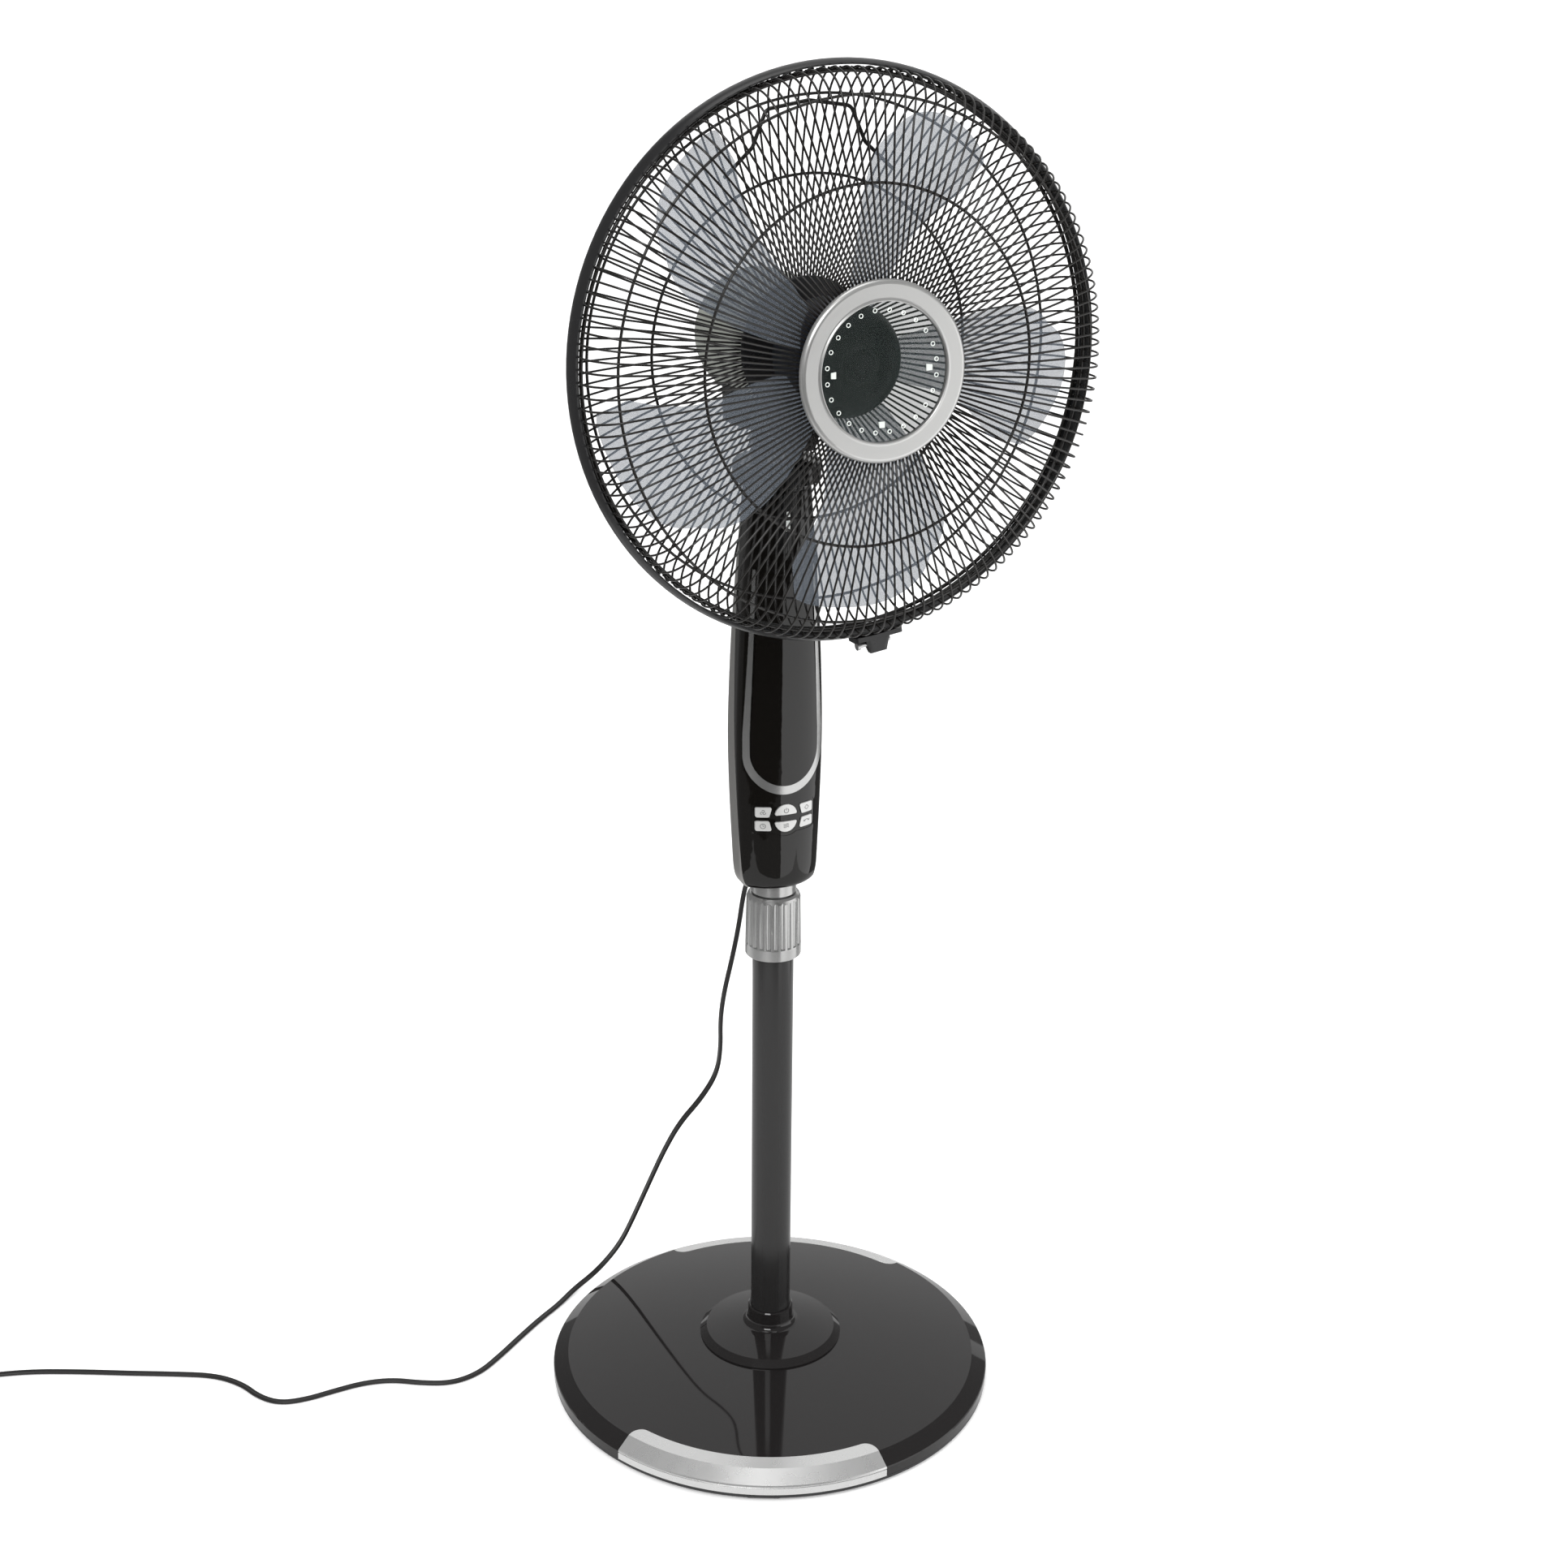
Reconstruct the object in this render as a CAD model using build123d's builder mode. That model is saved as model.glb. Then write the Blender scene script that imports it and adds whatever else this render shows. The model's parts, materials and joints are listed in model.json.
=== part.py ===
"""Pedestal fan: round weighted base, black pole with a fluted height collar, a control column
with six keys, and a tilting, swinging, caged five-blade head.

Frame: +Z up, millimetres, origin on the floor at the centre of the base.  The control column
faces -Y, +X is on the right of somebody who stands in front of it.  The head is modelled in
its own frame (HEAD): X right, Y up, Z forward along the motor shaft, origin at the centre of
the hoop that joins the two guards.
"""

from build123d import *
import math
import os

os.makedirs("parts", exist_ok=True)

# ------------------------------------------------------------------ driving dimensions
# base
BASE_R = 200.0            # outer radius of the base
FLAT_R = 186.5            # the dome ends here, then the bevel starts
DOME_TOP = 43.0           # height of the dome on the axis, as if it had no hole
FLAT_Z = 24.8             # height of the dome at its edge
BEVEL_Z = 16.2            # bevel meets the upright lip
LIP_Z = 7.1               # bottom of the upright lip
PLATE_Z = 3.0             # underside of the bottom plate, 3 mm above the floor
SKIN = 2.4                # wall of the mouldings
INSERT_IN_R = 174.0       # inner edge of the bright inserts
INSERT_HALF = 36.0        # half the angle an insert spans
BASE_TURN = -26.1         # the inserts are turned this far from the column's front
FOOT_COUNT = 7
# pole
POLE_R, POLE_BORE = 17.9, 16.3
POLE_TOP = 466.0
TUBE_R, TUBE_BORE = 14.3, 12.9
COLLAR_Z0, COLLAR_Z1 = 427.9, 485.5
COLLAR_R0, COLLAR_R1 = 24.2, 23.4
FLUTES = 24
NECK_R = 19.4
# column
COLUMN_Z0, COLUMN_Z1 = 498.5, 850.5
SECTIONS = [              # height, half width, depth in front of the pole, depth behind it
    (498.5, 30.0, 24.4, 17.0),
    (501.0, 32.2, 26.3, 18.8),
    (506.0, 33.8, 27.3, 20.3),
    (520.0, 35.0, 27.9, 22.5),
    (555.0, 36.3, 28.2, 26.5),
    (595.0, 37.6, 28.2, 29.3),
    (632.0, 38.2, 28.1, 30.0),
    (676.0, 37.3, 27.8, 29.6),
    (722.0, 35.4, 27.0, 28.4),
    (780.0, 31.6, 25.4, 26.0),
    (824.0, 28.2, 23.9, 24.0),
    (850.5, 26.0, 22.9, 22.8),
]
SHELL = 2.2
KEY_Z = 564.2             # centre of the key group
# neck and head
CAP_R, CAP_H = 36.0, 15.0
PIVOT_Z = 882.0
HEAD_Z = 971.0            # height of the hoop's centre
TILT = 3.6                # the head looks up by this much at rest
YAW = 4.0                 # and is turned this much from the column's front
REACH = 116.6             # hoop plane ahead of the swing axis
HOOP_R = 218.7
WIRE_R = 0.75
WIRES = 36               # radial wires of each guard that carry the shape
HUB_RING_R, HUB_RING_Z = 67.4, 75.0
WINDOW_R = 51.3
MOTOR_R = 52.0
BLADE_R = 195.5
BLADES = 5
BLADE_TURN = -14.6        # tip of the first blade, from HEAD's X axis

# ------------------------------------------------------------------ frames
ct, st = math.cos(math.radians(TILT)), math.sin(math.radians(TILT))
cy, sy = math.cos(math.radians(YAW)), math.sin(math.radians(YAW))
SWING_DIR = Vector(0, st, ct)                       # the swing axis leans back with the tilt
FORWARD = Vector(sy, -cy * ct, cy * st)             # motor shaft, towards the room
RIGHT = Vector(cy, sy * ct, -sy * st)
LIFT = (HEAD_Z - PIVOT_Z - REACH * cy * st) / ct    # shaft above the tilt pivot
PIVOT = Vector(0, 0, PIVOT_Z)
HEAD = Plane(origin=PIVOT + SWING_DIR * LIFT + FORWARD * REACH, x_dir=RIGHT, z_dir=FORWARD)
SHAFT = Axis(HEAD.origin, FORWARD)
PROFILE = Plane(origin=HEAD.origin, x_dir=RIGHT, z_dir=-SWING_DIR)      # radius, distance ahead
SWING = Plane(origin=PIVOT + SWING_DIR * LIFT, x_dir=RIGHT, z_dir=SWING_DIR)  # above = z
# SWING's x is the head's right, its y points backwards from the swing axis
SIDE = Plane(origin=PIVOT, x_dir=(0, 1, 0), z_dir=(1, 0, 0))            # tilt pivot, x back, y up


def polar(radius, degrees):
    return (radius * math.cos(math.radians(degrees)), radius * math.sin(math.radians(degrees)))


def dome(radius, drop=0.0):
    """Height of the base's dome, or of a surface this far under it."""
    sag = DOME_TOP - FLAT_Z
    ball = (FLAT_R**2 + sag**2) / (2 * sag) - drop
    return DOME_TOP - drop - ball + math.sqrt(ball**2 - radius**2)


def dome_arc(r0, r1, drop=0.0):
    """Points on the dome, for a three point arc."""
    rm = (r0 + r1) / 2
    return [(r0, dome(r0, drop)), (rm, dome(rm, drop)), (r1, dome(r1, drop))]


def save(piece, name):
    piece.part.label = name
    export_step(piece.part, f"parts/{name}.step")


# ================================================================== BASE
BASE_FRONT = Plane(origin=(0, 0, 0), x_dir=polar(1, BASE_TURN), z_dir=(0, 0, 1))


def insert_outline(grow, rear=False):
    """Plan of one bright insert: an arc band with rounded inner corners, open outwards."""
    with BuildSketch() as plan:
        with BuildLine():
            middle = 90 if rear else -90
            inner, outer = INSERT_IN_R - grow, BASE_R + 12
            half_in = INSERT_HALF + math.degrees(grow / inner)
            half_out = INSERT_HALF + math.degrees(grow / outer)
            a, b = middle - half_in, middle + half_in
            c, d = middle + half_out, middle - half_out
            ThreePointArc(polar(inner, a), polar(inner, middle), polar(inner, b))
            Line(polar(inner, b), polar(outer, c))
            ThreePointArc(polar(outer, c), polar(outer, middle), polar(outer, d))
            Line(polar(outer, d), polar(inner, a))
        make_face()
        corners = plan.vertices().sort_by(lambda v: math.hypot(v.X, v.Y))[:2]
        fillet(corners, 11 + grow)
    return plan


def cover_profile(rim_r, rim_lift):
    """Half section of the dome moulding, with the insert's rim a little fuller."""
    with BuildLine() as outline:
        ThreePointArc(*dome_arc(19.0, FLAT_R))
        Line((FLAT_R, dome(FLAT_R)), (rim_r - 0.6, BEVEL_Z + rim_lift))
        Line((rim_r - 0.6, BEVEL_Z + rim_lift), (rim_r, BEVEL_Z - 1.2))
        Line((rim_r, BEVEL_Z - 1.2), (rim_r, LIP_Z))
        Line((rim_r, LIP_Z), (rim_r - SKIN, LIP_Z))
        Line((rim_r - SKIN, LIP_Z), (rim_r - SKIN, BEVEL_Z - 2.4))
        Line((rim_r - SKIN, BEVEL_Z - 2.4), (FLAT_R - 1.2, dome(FLAT_R - 1.2, SKIN)))
        ThreePointArc(*dome_arc(FLAT_R - 1.2, 19.0, SKIN))
        Line((19.0, dome(19.0, SKIN)), (19.0, dome(19.0)))
    return outline


with BuildPart() as base_cover:
    with BuildSketch(Plane.XZ):
        with BuildLine():
            add(cover_profile(BASE_R, 0.0))
        make_face()
    revolve(axis=Axis.Z)
    for rear in (False, True):
        with BuildSketch(BASE_FRONT):
            add(insert_outline(0.15, rear))
        extrude(amount=60, mode=Mode.SUBTRACT)
    # four bosses for the screws that hold the bottom plate
    with BuildSketch(Plane.XY.offset(7.2)):
        with PolarLocations(150, 4, start_angle=BASE_TURN + 45):
            Circle(5.5)
    extrude(until=Until.NEXT)
    with BuildSketch(Plane.XY.offset(7.1)):
        with PolarLocations(150, 4, start_angle=BASE_TURN + 45):
            Circle(2.0)
    extrude(amount=12, mode=Mode.SUBTRACT)
save(base_cover, "base_cover")

for name, rear in (("base_insert_front", False), ("base_insert_rear", True)):
    with BuildPart() as insert:
        with BuildSketch(Plane.XZ):
            with BuildLine():
                add(cover_profile(BASE_R + 0.1, 0.1))
            make_face()
        revolve(axis=Axis.Z)
        with BuildSketch(BASE_FRONT):
            add(insert_outline(0.0, rear))
        extrude(amount=60, mode=Mode.INTERSECT)
        # groove where the bevel meets the lip
        with BuildSketch(Plane.XZ):
            with Locations((BASE_R + 0.1, BEVEL_Z - 2.2)):
                Rectangle(1.2, 0.9)
        revolve(axis=Axis.Z, mode=Mode.SUBTRACT)
    save(insert, name)

# weight: a ring of cast stone that rests on the bottom plate
with BuildPart() as base_weight:
    with BuildSketch(Plane.XZ):
        with BuildLine():
            Polyline((62, 7.05), (180, 7.05), (180, 15.5), (174, 19.0), (62, 19.0), close=True)
        make_face()
    revolve(axis=Axis.Z)
    with BuildSketch(Plane.XY.offset(7)):
        with PolarLocations(150, 4, start_angle=BASE_TURN + 45):
            Circle(7.5)
    extrude(amount=14, mode=Mode.SUBTRACT)
save(base_weight, "base_weight")

with BuildPart() as base_plate:
    with BuildSketch(Plane.XY.offset(PLATE_Z)):
        Circle(BASE_R - 0.6)
        with PolarLocations(30, 3, start_angle=90):
            Circle(3.2, mode=Mode.SUBTRACT)
        with PolarLocations(150, 4, start_angle=BASE_TURN + 45):
            Circle(2.2, mode=Mode.SUBTRACT)
    extrude(amount=LIP_Z - PLATE_Z - 0.1)
    chamfer(base_plate.edges().filter_by(GeomType.CIRCLE).sort_by(SortBy.RADIUS)[-2:], 0.8)
save(base_plate, "base_plate")

# soft pads under the edge
with BuildPart() as base_feet:
    with BuildSketch():
        with PolarLocations(186, FOOT_COUNT, start_angle=-90 - 22.2):
            RectangleRounded(19, 34, 5)
    extrude(amount=PLATE_Z)
    chamfer(base_feet.faces().filter_by(Axis.Z).group_by(Axis.Z)[0].edges(), 0.7)
save(base_feet, "base_feet")

# ------------------------------------------------------------------ pole and its fixing
with BuildPart() as pole_outer:
    with BuildSketch(Plane.XY.offset(7.05)):
        Circle(44)
        Circle(POLE_BORE, mode=Mode.SUBTRACT)
        with PolarLocations(30, 3, start_angle=90):
            Circle(3.2, mode=Mode.SUBTRACT)
    extrude(amount=4)
    with BuildSketch(Plane.XY.offset(11)):
        Circle(POLE_R)
        Circle(POLE_BORE, mode=Mode.SUBTRACT)
    extrude(amount=POLE_TOP - 11)
save(pole_outer, "pole_outer")

# cross-head screws of the bottom plate, and the bolts and nuts of the pole's flange
with BuildPart() as base_fasteners:
    spots = [polar(150, BASE_TURN + 45 + 90 * i) for i in range(4)]
    with BuildSketch(Plane.XY.offset(PLATE_Z - 2.2)):
        with Locations(*spots):
            Circle(4.0)
    extrude(amount=2.2)
    with BuildSketch(Plane.XY.offset(PLATE_Z)):
        with Locations(*spots):
            Circle(1.9)
    extrude(amount=13)
    with BuildSketch(Plane.XY.offset(PLATE_Z - 2.2)):
        with Locations(*spots):
            Rectangle(5, 0.9)
            Rectangle(0.9, 5)
    extrude(amount=1.1, mode=Mode.SUBTRACT)
    with BuildSketch(Plane.XY.offset(0.6)):
        with PolarLocations(30, 3, start_angle=90):
            RegularPolygon(5.4, 6)
    extrude(amount=2.4)
    with BuildSketch(Plane.XY.offset(3.0)):
        with PolarLocations(30, 3, start_angle=90):
            Circle(2.95)
    extrude(amount=12.5)
    with BuildSketch(Plane.XY.offset(11.1)):
        with PolarLocations(30, 3, start_angle=90):
            RegularPolygon(5.4, 6)
    extrude(amount=4)
save(base_fasteners, "base_fasteners")

# trumpet that hides the joint between pole and base
with BuildPart() as pole_cover:
    with BuildSketch(Plane.XZ):
        with BuildLine():
            edge = dome(64.5) + 0.15
            Line((64.5, edge), (64.5, edge + 1.2))
            Line((64.5, edge + 1.2), (58.6, 47.6))
            ThreePointArc((58.6, 47.6), (42.0, 50.9), (27.0, 53.0))
            ThreePointArc((27.0, 53.0), (22.4, 55.0), (20.6, 59.5))
            Line((20.6, 59.5), (20.3, 69.6))
            Line((20.3, 69.6), (19.4, 70.5))
            Line((19.4, 70.5), (18.15, 70.5))
            Line((18.15, 70.5), (18.15, 57.0))
            ThreePointArc((18.15, 57.0), (20.0, 52.4), (26.0, 50.4))
            ThreePointArc((26.0, 50.4), (41.5, 48.3), (56.6, 45.3))
            Line((56.6, 45.3), (61.8, dome(61.8) + 0.15))
            Line((61.8, dome(61.8) + 0.15), (64.5, edge))
        make_face()
    revolve(axis=Axis.Z)
save(pole_cover, "pole_cover")

# split plastic bush that guides the inner tube in the mouth of the pole
with BuildPart() as pole_bush:
    with BuildSketch(Plane.XY.offset(POLE_TOP - 26)):
        Circle(POLE_BORE - 0.05)
        Circle(TUBE_R + 0.1, mode=Mode.SUBTRACT)
        with Locations((0, 15.3)):
            Rectangle(2, 4, mode=Mode.SUBTRACT)
    extrude(amount=26)
    with BuildSketch(Plane.XY.offset(POLE_TOP + 0.05)):
        Circle(POLE_R - 0.4)
        Circle(TUBE_R + 0.1, mode=Mode.SUBTRACT)
        with Locations((0, 15.9)):
            Rectangle(2, 6, mode=Mode.SUBTRACT)
    extrude(amount=8, taper=8)
    with BuildSketch(Plane.XY.offset(POLE_TOP - 1)):
        Circle(POLE_BORE - 0.05)
        Circle(TUBE_R + 0.1, mode=Mode.SUBTRACT)
        with Locations((0, 15.3)):
            Rectangle(2, 4, mode=Mode.SUBTRACT)
    extrude(amount=2)
save(pole_bush, "pole_bush")

# ================================================================== HEIGHT COLLAR
with BuildPart() as height_collar:
    with BuildSketch(Plane.XZ):
        with BuildLine():
            Polyline(
                (18.3, COLLAR_Z0), (COLLAR_R0 - 0.5, COLLAR_Z0), (COLLAR_R0, COLLAR_Z0 + 0.5),
                (COLLAR_R0, COLLAR_Z0 + 10.0), (COLLAR_R1, COLLAR_Z1 - 4.4),
                (COLLAR_R1 - 1.2, COLLAR_Z1 - 1.6), (20.6, COLLAR_Z1), (15.0, COLLAR_Z1),
                (15.0, COLLAR_Z1 - 4.0), (18.3, COLLAR_Z1 - 10.5), close=True,
            )
        make_face()
    revolve(axis=Axis.Z)
    with BuildSketch(Plane.XY.offset(COLLAR_Z0 + 10.6)):
        with PolarLocations(25.0, FLUTES):
            Circle(2.25)
    extrude(amount=60, mode=Mode.SUBTRACT)
save(height_collar, "height_collar")

# ================================================================== CONTROL COLUMN
with BuildPart() as pole_inner:
    with BuildSketch(Plane.XY.offset(212)):
        Circle(TUBE_R)
        Circle(TUBE_BORE, mode=Mode.SUBTRACT)
    extrude(amount=330)
save(pole_inner, "pole_inner")

with BuildPart() as column_socket:
    with BuildSketch(Plane.XY.offset(487.0)):
        Circle(NECK_R)
        Circle(TUBE_R + 0.05, mode=Mode.SUBTRACT)
    extrude(amount=COLUMN_Z0 - 487.0)
    with BuildSketch(Plane.XY.offset(COLUMN_Z0 - 0.1)):
        Circle(17.4)
        Circle(TUBE_R + 0.05, mode=Mode.SUBTRACT)
    extrude(amount=38)
save(column_socket, "column_socket")


def section(z, w, front, back, grow):
    """One level of the column: bowed front and back, short flat flanks, round corners."""
    w, front, back = w + grow, front + grow, back + grow
    with BuildSketch(Plane.XY.offset(z)) as level:
        with BuildLine():
            ThreePointArc((-w, -0.46 * front), (0, -front), (w, -0.46 * front))
            Line((w, -0.46 * front), (w, 0.40 * back))
            ThreePointArc((w, 0.40 * back), (0, back), (-w, 0.40 * back))
            Line((-w, 0.40 * back), (-w, -0.46 * front))
        make_face()
        fillet(level.vertices(), 7.5 + grow)
    return level


def column_body(grow, z0=COLUMN_Z0, z1=COLUMN_Z1):
    """The column's smooth body, larger or smaller all round, between two heights."""
    with BuildPart(mode=Mode.PRIVATE) as body:
        levels = []
        for z, w, front, back in SECTIONS:
            levels.append(section(z, w, front, back, grow).sketch)
        loft(sections=[level.faces()[0] for level in levels])
        with BuildSketch(Plane.XY.offset(z0)):
            Rectangle(200, 200)
        extrude(amount=z1 - z0, mode=Mode.INTERSECT)
    return body.part


OUTER = column_body(0)
INNER = column_body(-SHELL, COLUMN_Z0 + 2.4)
PROUD = column_body(1.5)
TRIM = column_body(0.9)
KEYS = column_body(0.8)
LINE = column_body(0.06)
DISH = column_body(-0.35)

# the two shells meet on a plane that leans forward towards the foot of the column
SEAM = Plane(origin=(0, -5.8, 632), x_dir=(1, 0, 0), z_dir=(0, -1, 0.063))
BEHIND = Plane(origin=(0, -5.8, 632), x_dir=(1, 0, 0), z_dir=(0, 1, -0.063))


def trim_outline(half, bottom, top, top_half):
    """U shape seen from the front: round bottom, legs that lean in towards the top."""
    with BuildSketch(Plane.XZ) as shape:
        centre = bottom + half
        with BuildLine():
            ThreePointArc((-half, centre), (0, bottom), (half, centre))
            Line((half, centre), (half, 640))
            Line((half, 640), (top_half, top))
            Line((top_half, top), (-top_half, top))
            Line((-top_half, top), (-half, 640))
            Line((-half, 640), (-half, centre))
        make_face()
    return shape


def half_moon(grow=0.0, lower=False):
    s = -1 if lower else 1
    with BuildSketch(Plane.XZ) as shape:
        with BuildLine():
            r, base = 9.7, KEY_Z + s * 3.1
            ThreePointArc((-r, base), (0, base + s * 9.2), (r, base))
            Line((r, base), (-r, base))
        make_face()
        fillet(shape.vertices(), 1.1)
        if grow:
            offset(amount=grow)
    return shape


def corner_key(side, level, grow=0.0):
    """A four sided key; its inner edge leans round the half moons."""
    with BuildSketch(Plane.XZ) as shape:
        near, far = KEY_Z + level * 1.8, KEY_Z + level * 10.6
        with BuildLine():
            Polyline((side * 14.6, near), (side * 25.4, near), (side * 25.4, far),
                     (side * 12.3, far), close=True)
        make_face()
        fillet(shape.vertices(), 1.4)
        if grow:
            offset(amount=grow)
    return shape


KEY_SHAPES = {
    "key_power": lambda g: half_moon(g),
    "key_mode": lambda g: half_moon(g, lower=True),
    "key_speed": lambda g: corner_key(-1, 1, g),
    "key_timer": lambda g: corner_key(-1, -1, g),
    "key_breeze": lambda g: corner_key(1, 1, g),
    "key_swing": lambda g: corner_key(1, -1, g),
}

SCREWS = [(-24.0, 530.0), (24.0, 530.0), (-17.0, 800.0), (17.0, 800.0)]


def seam_y(z):
    return -5.8 + 0.063 * (z - 632)


def screw_posts(front):
    """Bosses for the four screws that hold the two shells together."""
    sign = 1 if front else -1
    with BuildPart(mode=Mode.PRIVATE) as posts:
        for x, z in SCREWS:
            with BuildSketch(Plane.XZ.offset(-seam_y(z) + sign * 0.5)):
                with Locations((x, z)):
                    Circle(4.2)
                    Circle(1.5, mode=Mode.SUBTRACT)
            extrude(amount=sign * 60)
        add(DISH, mode=Mode.INTERSECT)
    return posts.part


def board_posts():
    """Four pins behind the front shell that the control board sits on."""
    with BuildPart(mode=Mode.PRIVATE) as posts:
        with BuildSketch(Plane.XZ.offset(14.05)):
            with Locations((0, KEY_Z + 2)):
                with GridLocations(44, 36, 2, 2):
                    Circle(2.2)
        extrude(amount=40)
        add(DISH, mode=Mode.INTERSECT)
    return posts.part


def key_dish():
    """The skin that is cut away around the key group."""
    with BuildPart(mode=Mode.PRIVATE) as skin:
        with BuildSketch(Plane.XZ):
            with Locations((0, KEY_Z)):
                RectangleRounded(56.6, 27.2, 5)
                Circle(16.4)
        extrude(amount=60)
        add(DISH, mode=Mode.SUBTRACT)
    return skin.part


# the mains lead leaves low on the column's back, pointing down and away
LEAD_DIR = Vector(-0.06, 0.60, -0.80).normalized()
GLAND = Plane(origin=(-3.0, 21.5, 513.5), x_dir=(1, 0.1, 0), z_dir=LEAD_DIR)

with BuildPart() as column_front:
    add(OUTER)
    add(INNER, mode=Mode.SUBTRACT)
    with BuildSketch(SEAM.offset(0.1)):
        Rectangle(200, 800)
    extrude(amount=-100, mode=Mode.SUBTRACT)
    add(screw_posts(True))
    add(board_posts())
    add(key_dish(), mode=Mode.SUBTRACT)
    for outline in KEY_SHAPES.values():
        with BuildSketch(Plane.XZ):
            add(outline(0.3))
        extrude(amount=60, mode=Mode.SUBTRACT)
    # opening for the tube socket
    with BuildSketch(Plane.XY.offset(COLUMN_Z0)):
        Circle(17.6)
    extrude(amount=6, mode=Mode.SUBTRACT)
save(column_front, "column_front")

with BuildPart() as column_rear:
    add(OUTER)
    add(INNER, mode=Mode.SUBTRACT)
    with BuildSketch(BEHIND.offset(0.1)):
        Rectangle(200, 800)
    extrude(amount=-100, mode=Mode.SUBTRACT)
    add(screw_posts(False))
    with BuildSketch(Plane.XY.offset(COLUMN_Z0)):
        Circle(17.6)
    extrude(amount=6, mode=Mode.SUBTRACT)
    for x, z in SCREWS:
        with BuildSketch(Plane.XZ.offset(-seam_y(z) - 4)):
            with Locations((x, z)):
                Circle(3.3)
        extrude(amount=-60, mode=Mode.SUBTRACT)
    with BuildSketch(GLAND.offset(-6)):
        Circle(3.6)
    extrude(amount=12, mode=Mode.SUBTRACT)
save(column_rear, "column_rear")

with BuildPart() as column_screws:
    for x, z in SCREWS:
        with BuildSketch(Plane.XZ.offset(-seam_y(z) - 4.05)):
            with Locations((x, z)):
                Circle(3.0)
        extrude(amount=-2.0)
        with BuildSketch(Plane.XZ.offset(-seam_y(z) - 4.05)):
            with Locations((x, z)):
                Circle(1.45)
        extrude(amount=9.5)
        with BuildSketch(Plane.XZ.offset(-seam_y(z) - 6.05)):
            with Locations((x, z)):
                Rectangle(3.8, 0.8)
                Rectangle(0.8, 3.8)
        extrude(amount=0.9, mode=Mode.SUBTRACT)
save(column_screws, "column_screws")

# ------------------------------------------------------------------ trim, inset, display
with BuildPart() as panel_trim:
    with BuildSketch(Plane.XZ):
        add(trim_outline(34.9, 585.8, 781.0, 26.7))
    extrude(amount=60)
    with BuildSketch(Plane.XZ):
        add(trim_outline(30.0, 593.4, 800.0, 24.0))
    extrude(amount=60, mode=Mode.SUBTRACT)
    add(TRIM, mode=Mode.INTERSECT)
    add(LINE, mode=Mode.SUBTRACT)
save(panel_trim, "panel_trim")

DISPLAY = [(826.4, 5.0), (817.4, 8.6)]       # centre height and height of each light window

with BuildPart() as panel_inset:
    with BuildSketch(Plane.XZ):
        add(trim_outline(29.8, 593.6, 844.0, 18.5))
    extrude(amount=60)
    add(PROUD, mode=Mode.INTERSECT)
    add(LINE, mode=Mode.SUBTRACT)
    for level, height in DISPLAY:
        with BuildSketch(Plane.XZ):
            with Locations((0, level)):
                Rectangle(4.4, height + 0.2)
        extrude(amount=60, mode=Mode.SUBTRACT)
save(panel_inset, "panel_inset")

with BuildPart() as display_lights:
    for level, height in DISPLAY:
        with BuildSketch(Plane.XZ):
            with Locations((0, level)):
                Rectangle(4.2, height)
        extrude(amount=60)
    add(PROUD, mode=Mode.INTERSECT)
    add(LINE, mode=Mode.SUBTRACT)
save(display_lights, "display_lights")

# ------------------------------------------------------------------ keys, switches, board
for name, outline in KEY_SHAPES.items():
    with BuildPart() as key:
        with BuildSketch(Plane.XZ.offset(19.5)):
            add(outline(0))
        extrude(amount=40)
        add(KEYS, mode=Mode.INTERSECT)
    save(key, name)

KEY_CENTRES = [(0, 6.6), (0, -6.6), (-19.5, 6.2), (-19.5, -6.2), (19.5, 6.2), (19.5, -6.2)]

with BuildPart() as control_board:
    with BuildSketch(Plane.XZ.offset(12.4)):
        with Locations((0, KEY_Z + 2)):
            RectangleRounded(54, 46, 2)
            with GridLocations(44, 36, 2, 2):
                Circle(1.3, mode=Mode.SUBTRACT)
    extrude(amount=1.6)
save(control_board, "control_board")

with BuildPart() as tact_switches:
    for x, rise in KEY_CENTRES:
        with BuildSketch(Plane.XZ.offset(14.0)):
            with Locations((x, KEY_Z + rise)):
                Rectangle(6, 6)
        extrude(amount=3.0)
        with BuildSketch(Plane.XZ.offset(17.0)):
            with Locations((x, KEY_Z + rise)):
                Circle(1.7)
        extrude(amount=1.6)
save(tact_switches, "tact_switches")

RELIEF_LENGTH = 24.0

with BuildPart() as cord_gland:
    with BuildSketch(GLAND.offset(-1.6)):
        Circle(3.5)
    extrude(amount=5)
    with BuildSketch(GLAND.offset(3.2)):
        Circle(4.6)
    extrude(amount=1.9)
    with BuildSketch(GLAND.offset(5.1)):
        Circle(4.0)
    extrude(amount=RELIEF_LENGTH, taper=math.degrees(math.atan(1.5 / RELIEF_LENGTH)))
save(cord_gland, "cord_gland")

# ------------------------------------------------------------------ cap with the tilt ears
with BuildPart() as swivel_cap:
    with BuildSketch(Plane.XZ):
        with BuildLine():
            cap0, cap1 = COLUMN_Z1 + 0.1, COLUMN_Z1 + CAP_H + 0.8
            Polyline((5, cap0 - 6), (19.0, cap0 - 6), (19.0, cap0), (CAP_R - 0.8, cap0),
                     (CAP_R, cap0 + 0.8), (CAP_R, cap1 - 1.6), (CAP_R - 1.6, cap1), (5, cap1),
                     close=True)
        make_face()
    revolve(axis=Axis.Z)
    for side in (-1, 1):
        with BuildSketch(SIDE.offset(min(side * 12, side * 18))):
            Circle(12)
            with Locations((0, -10)):
                Rectangle(24, 20)
            Circle(3.6, mode=Mode.SUBTRACT)
        extrude(amount=6)
save(swivel_cap, "swivel_cap")

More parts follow.
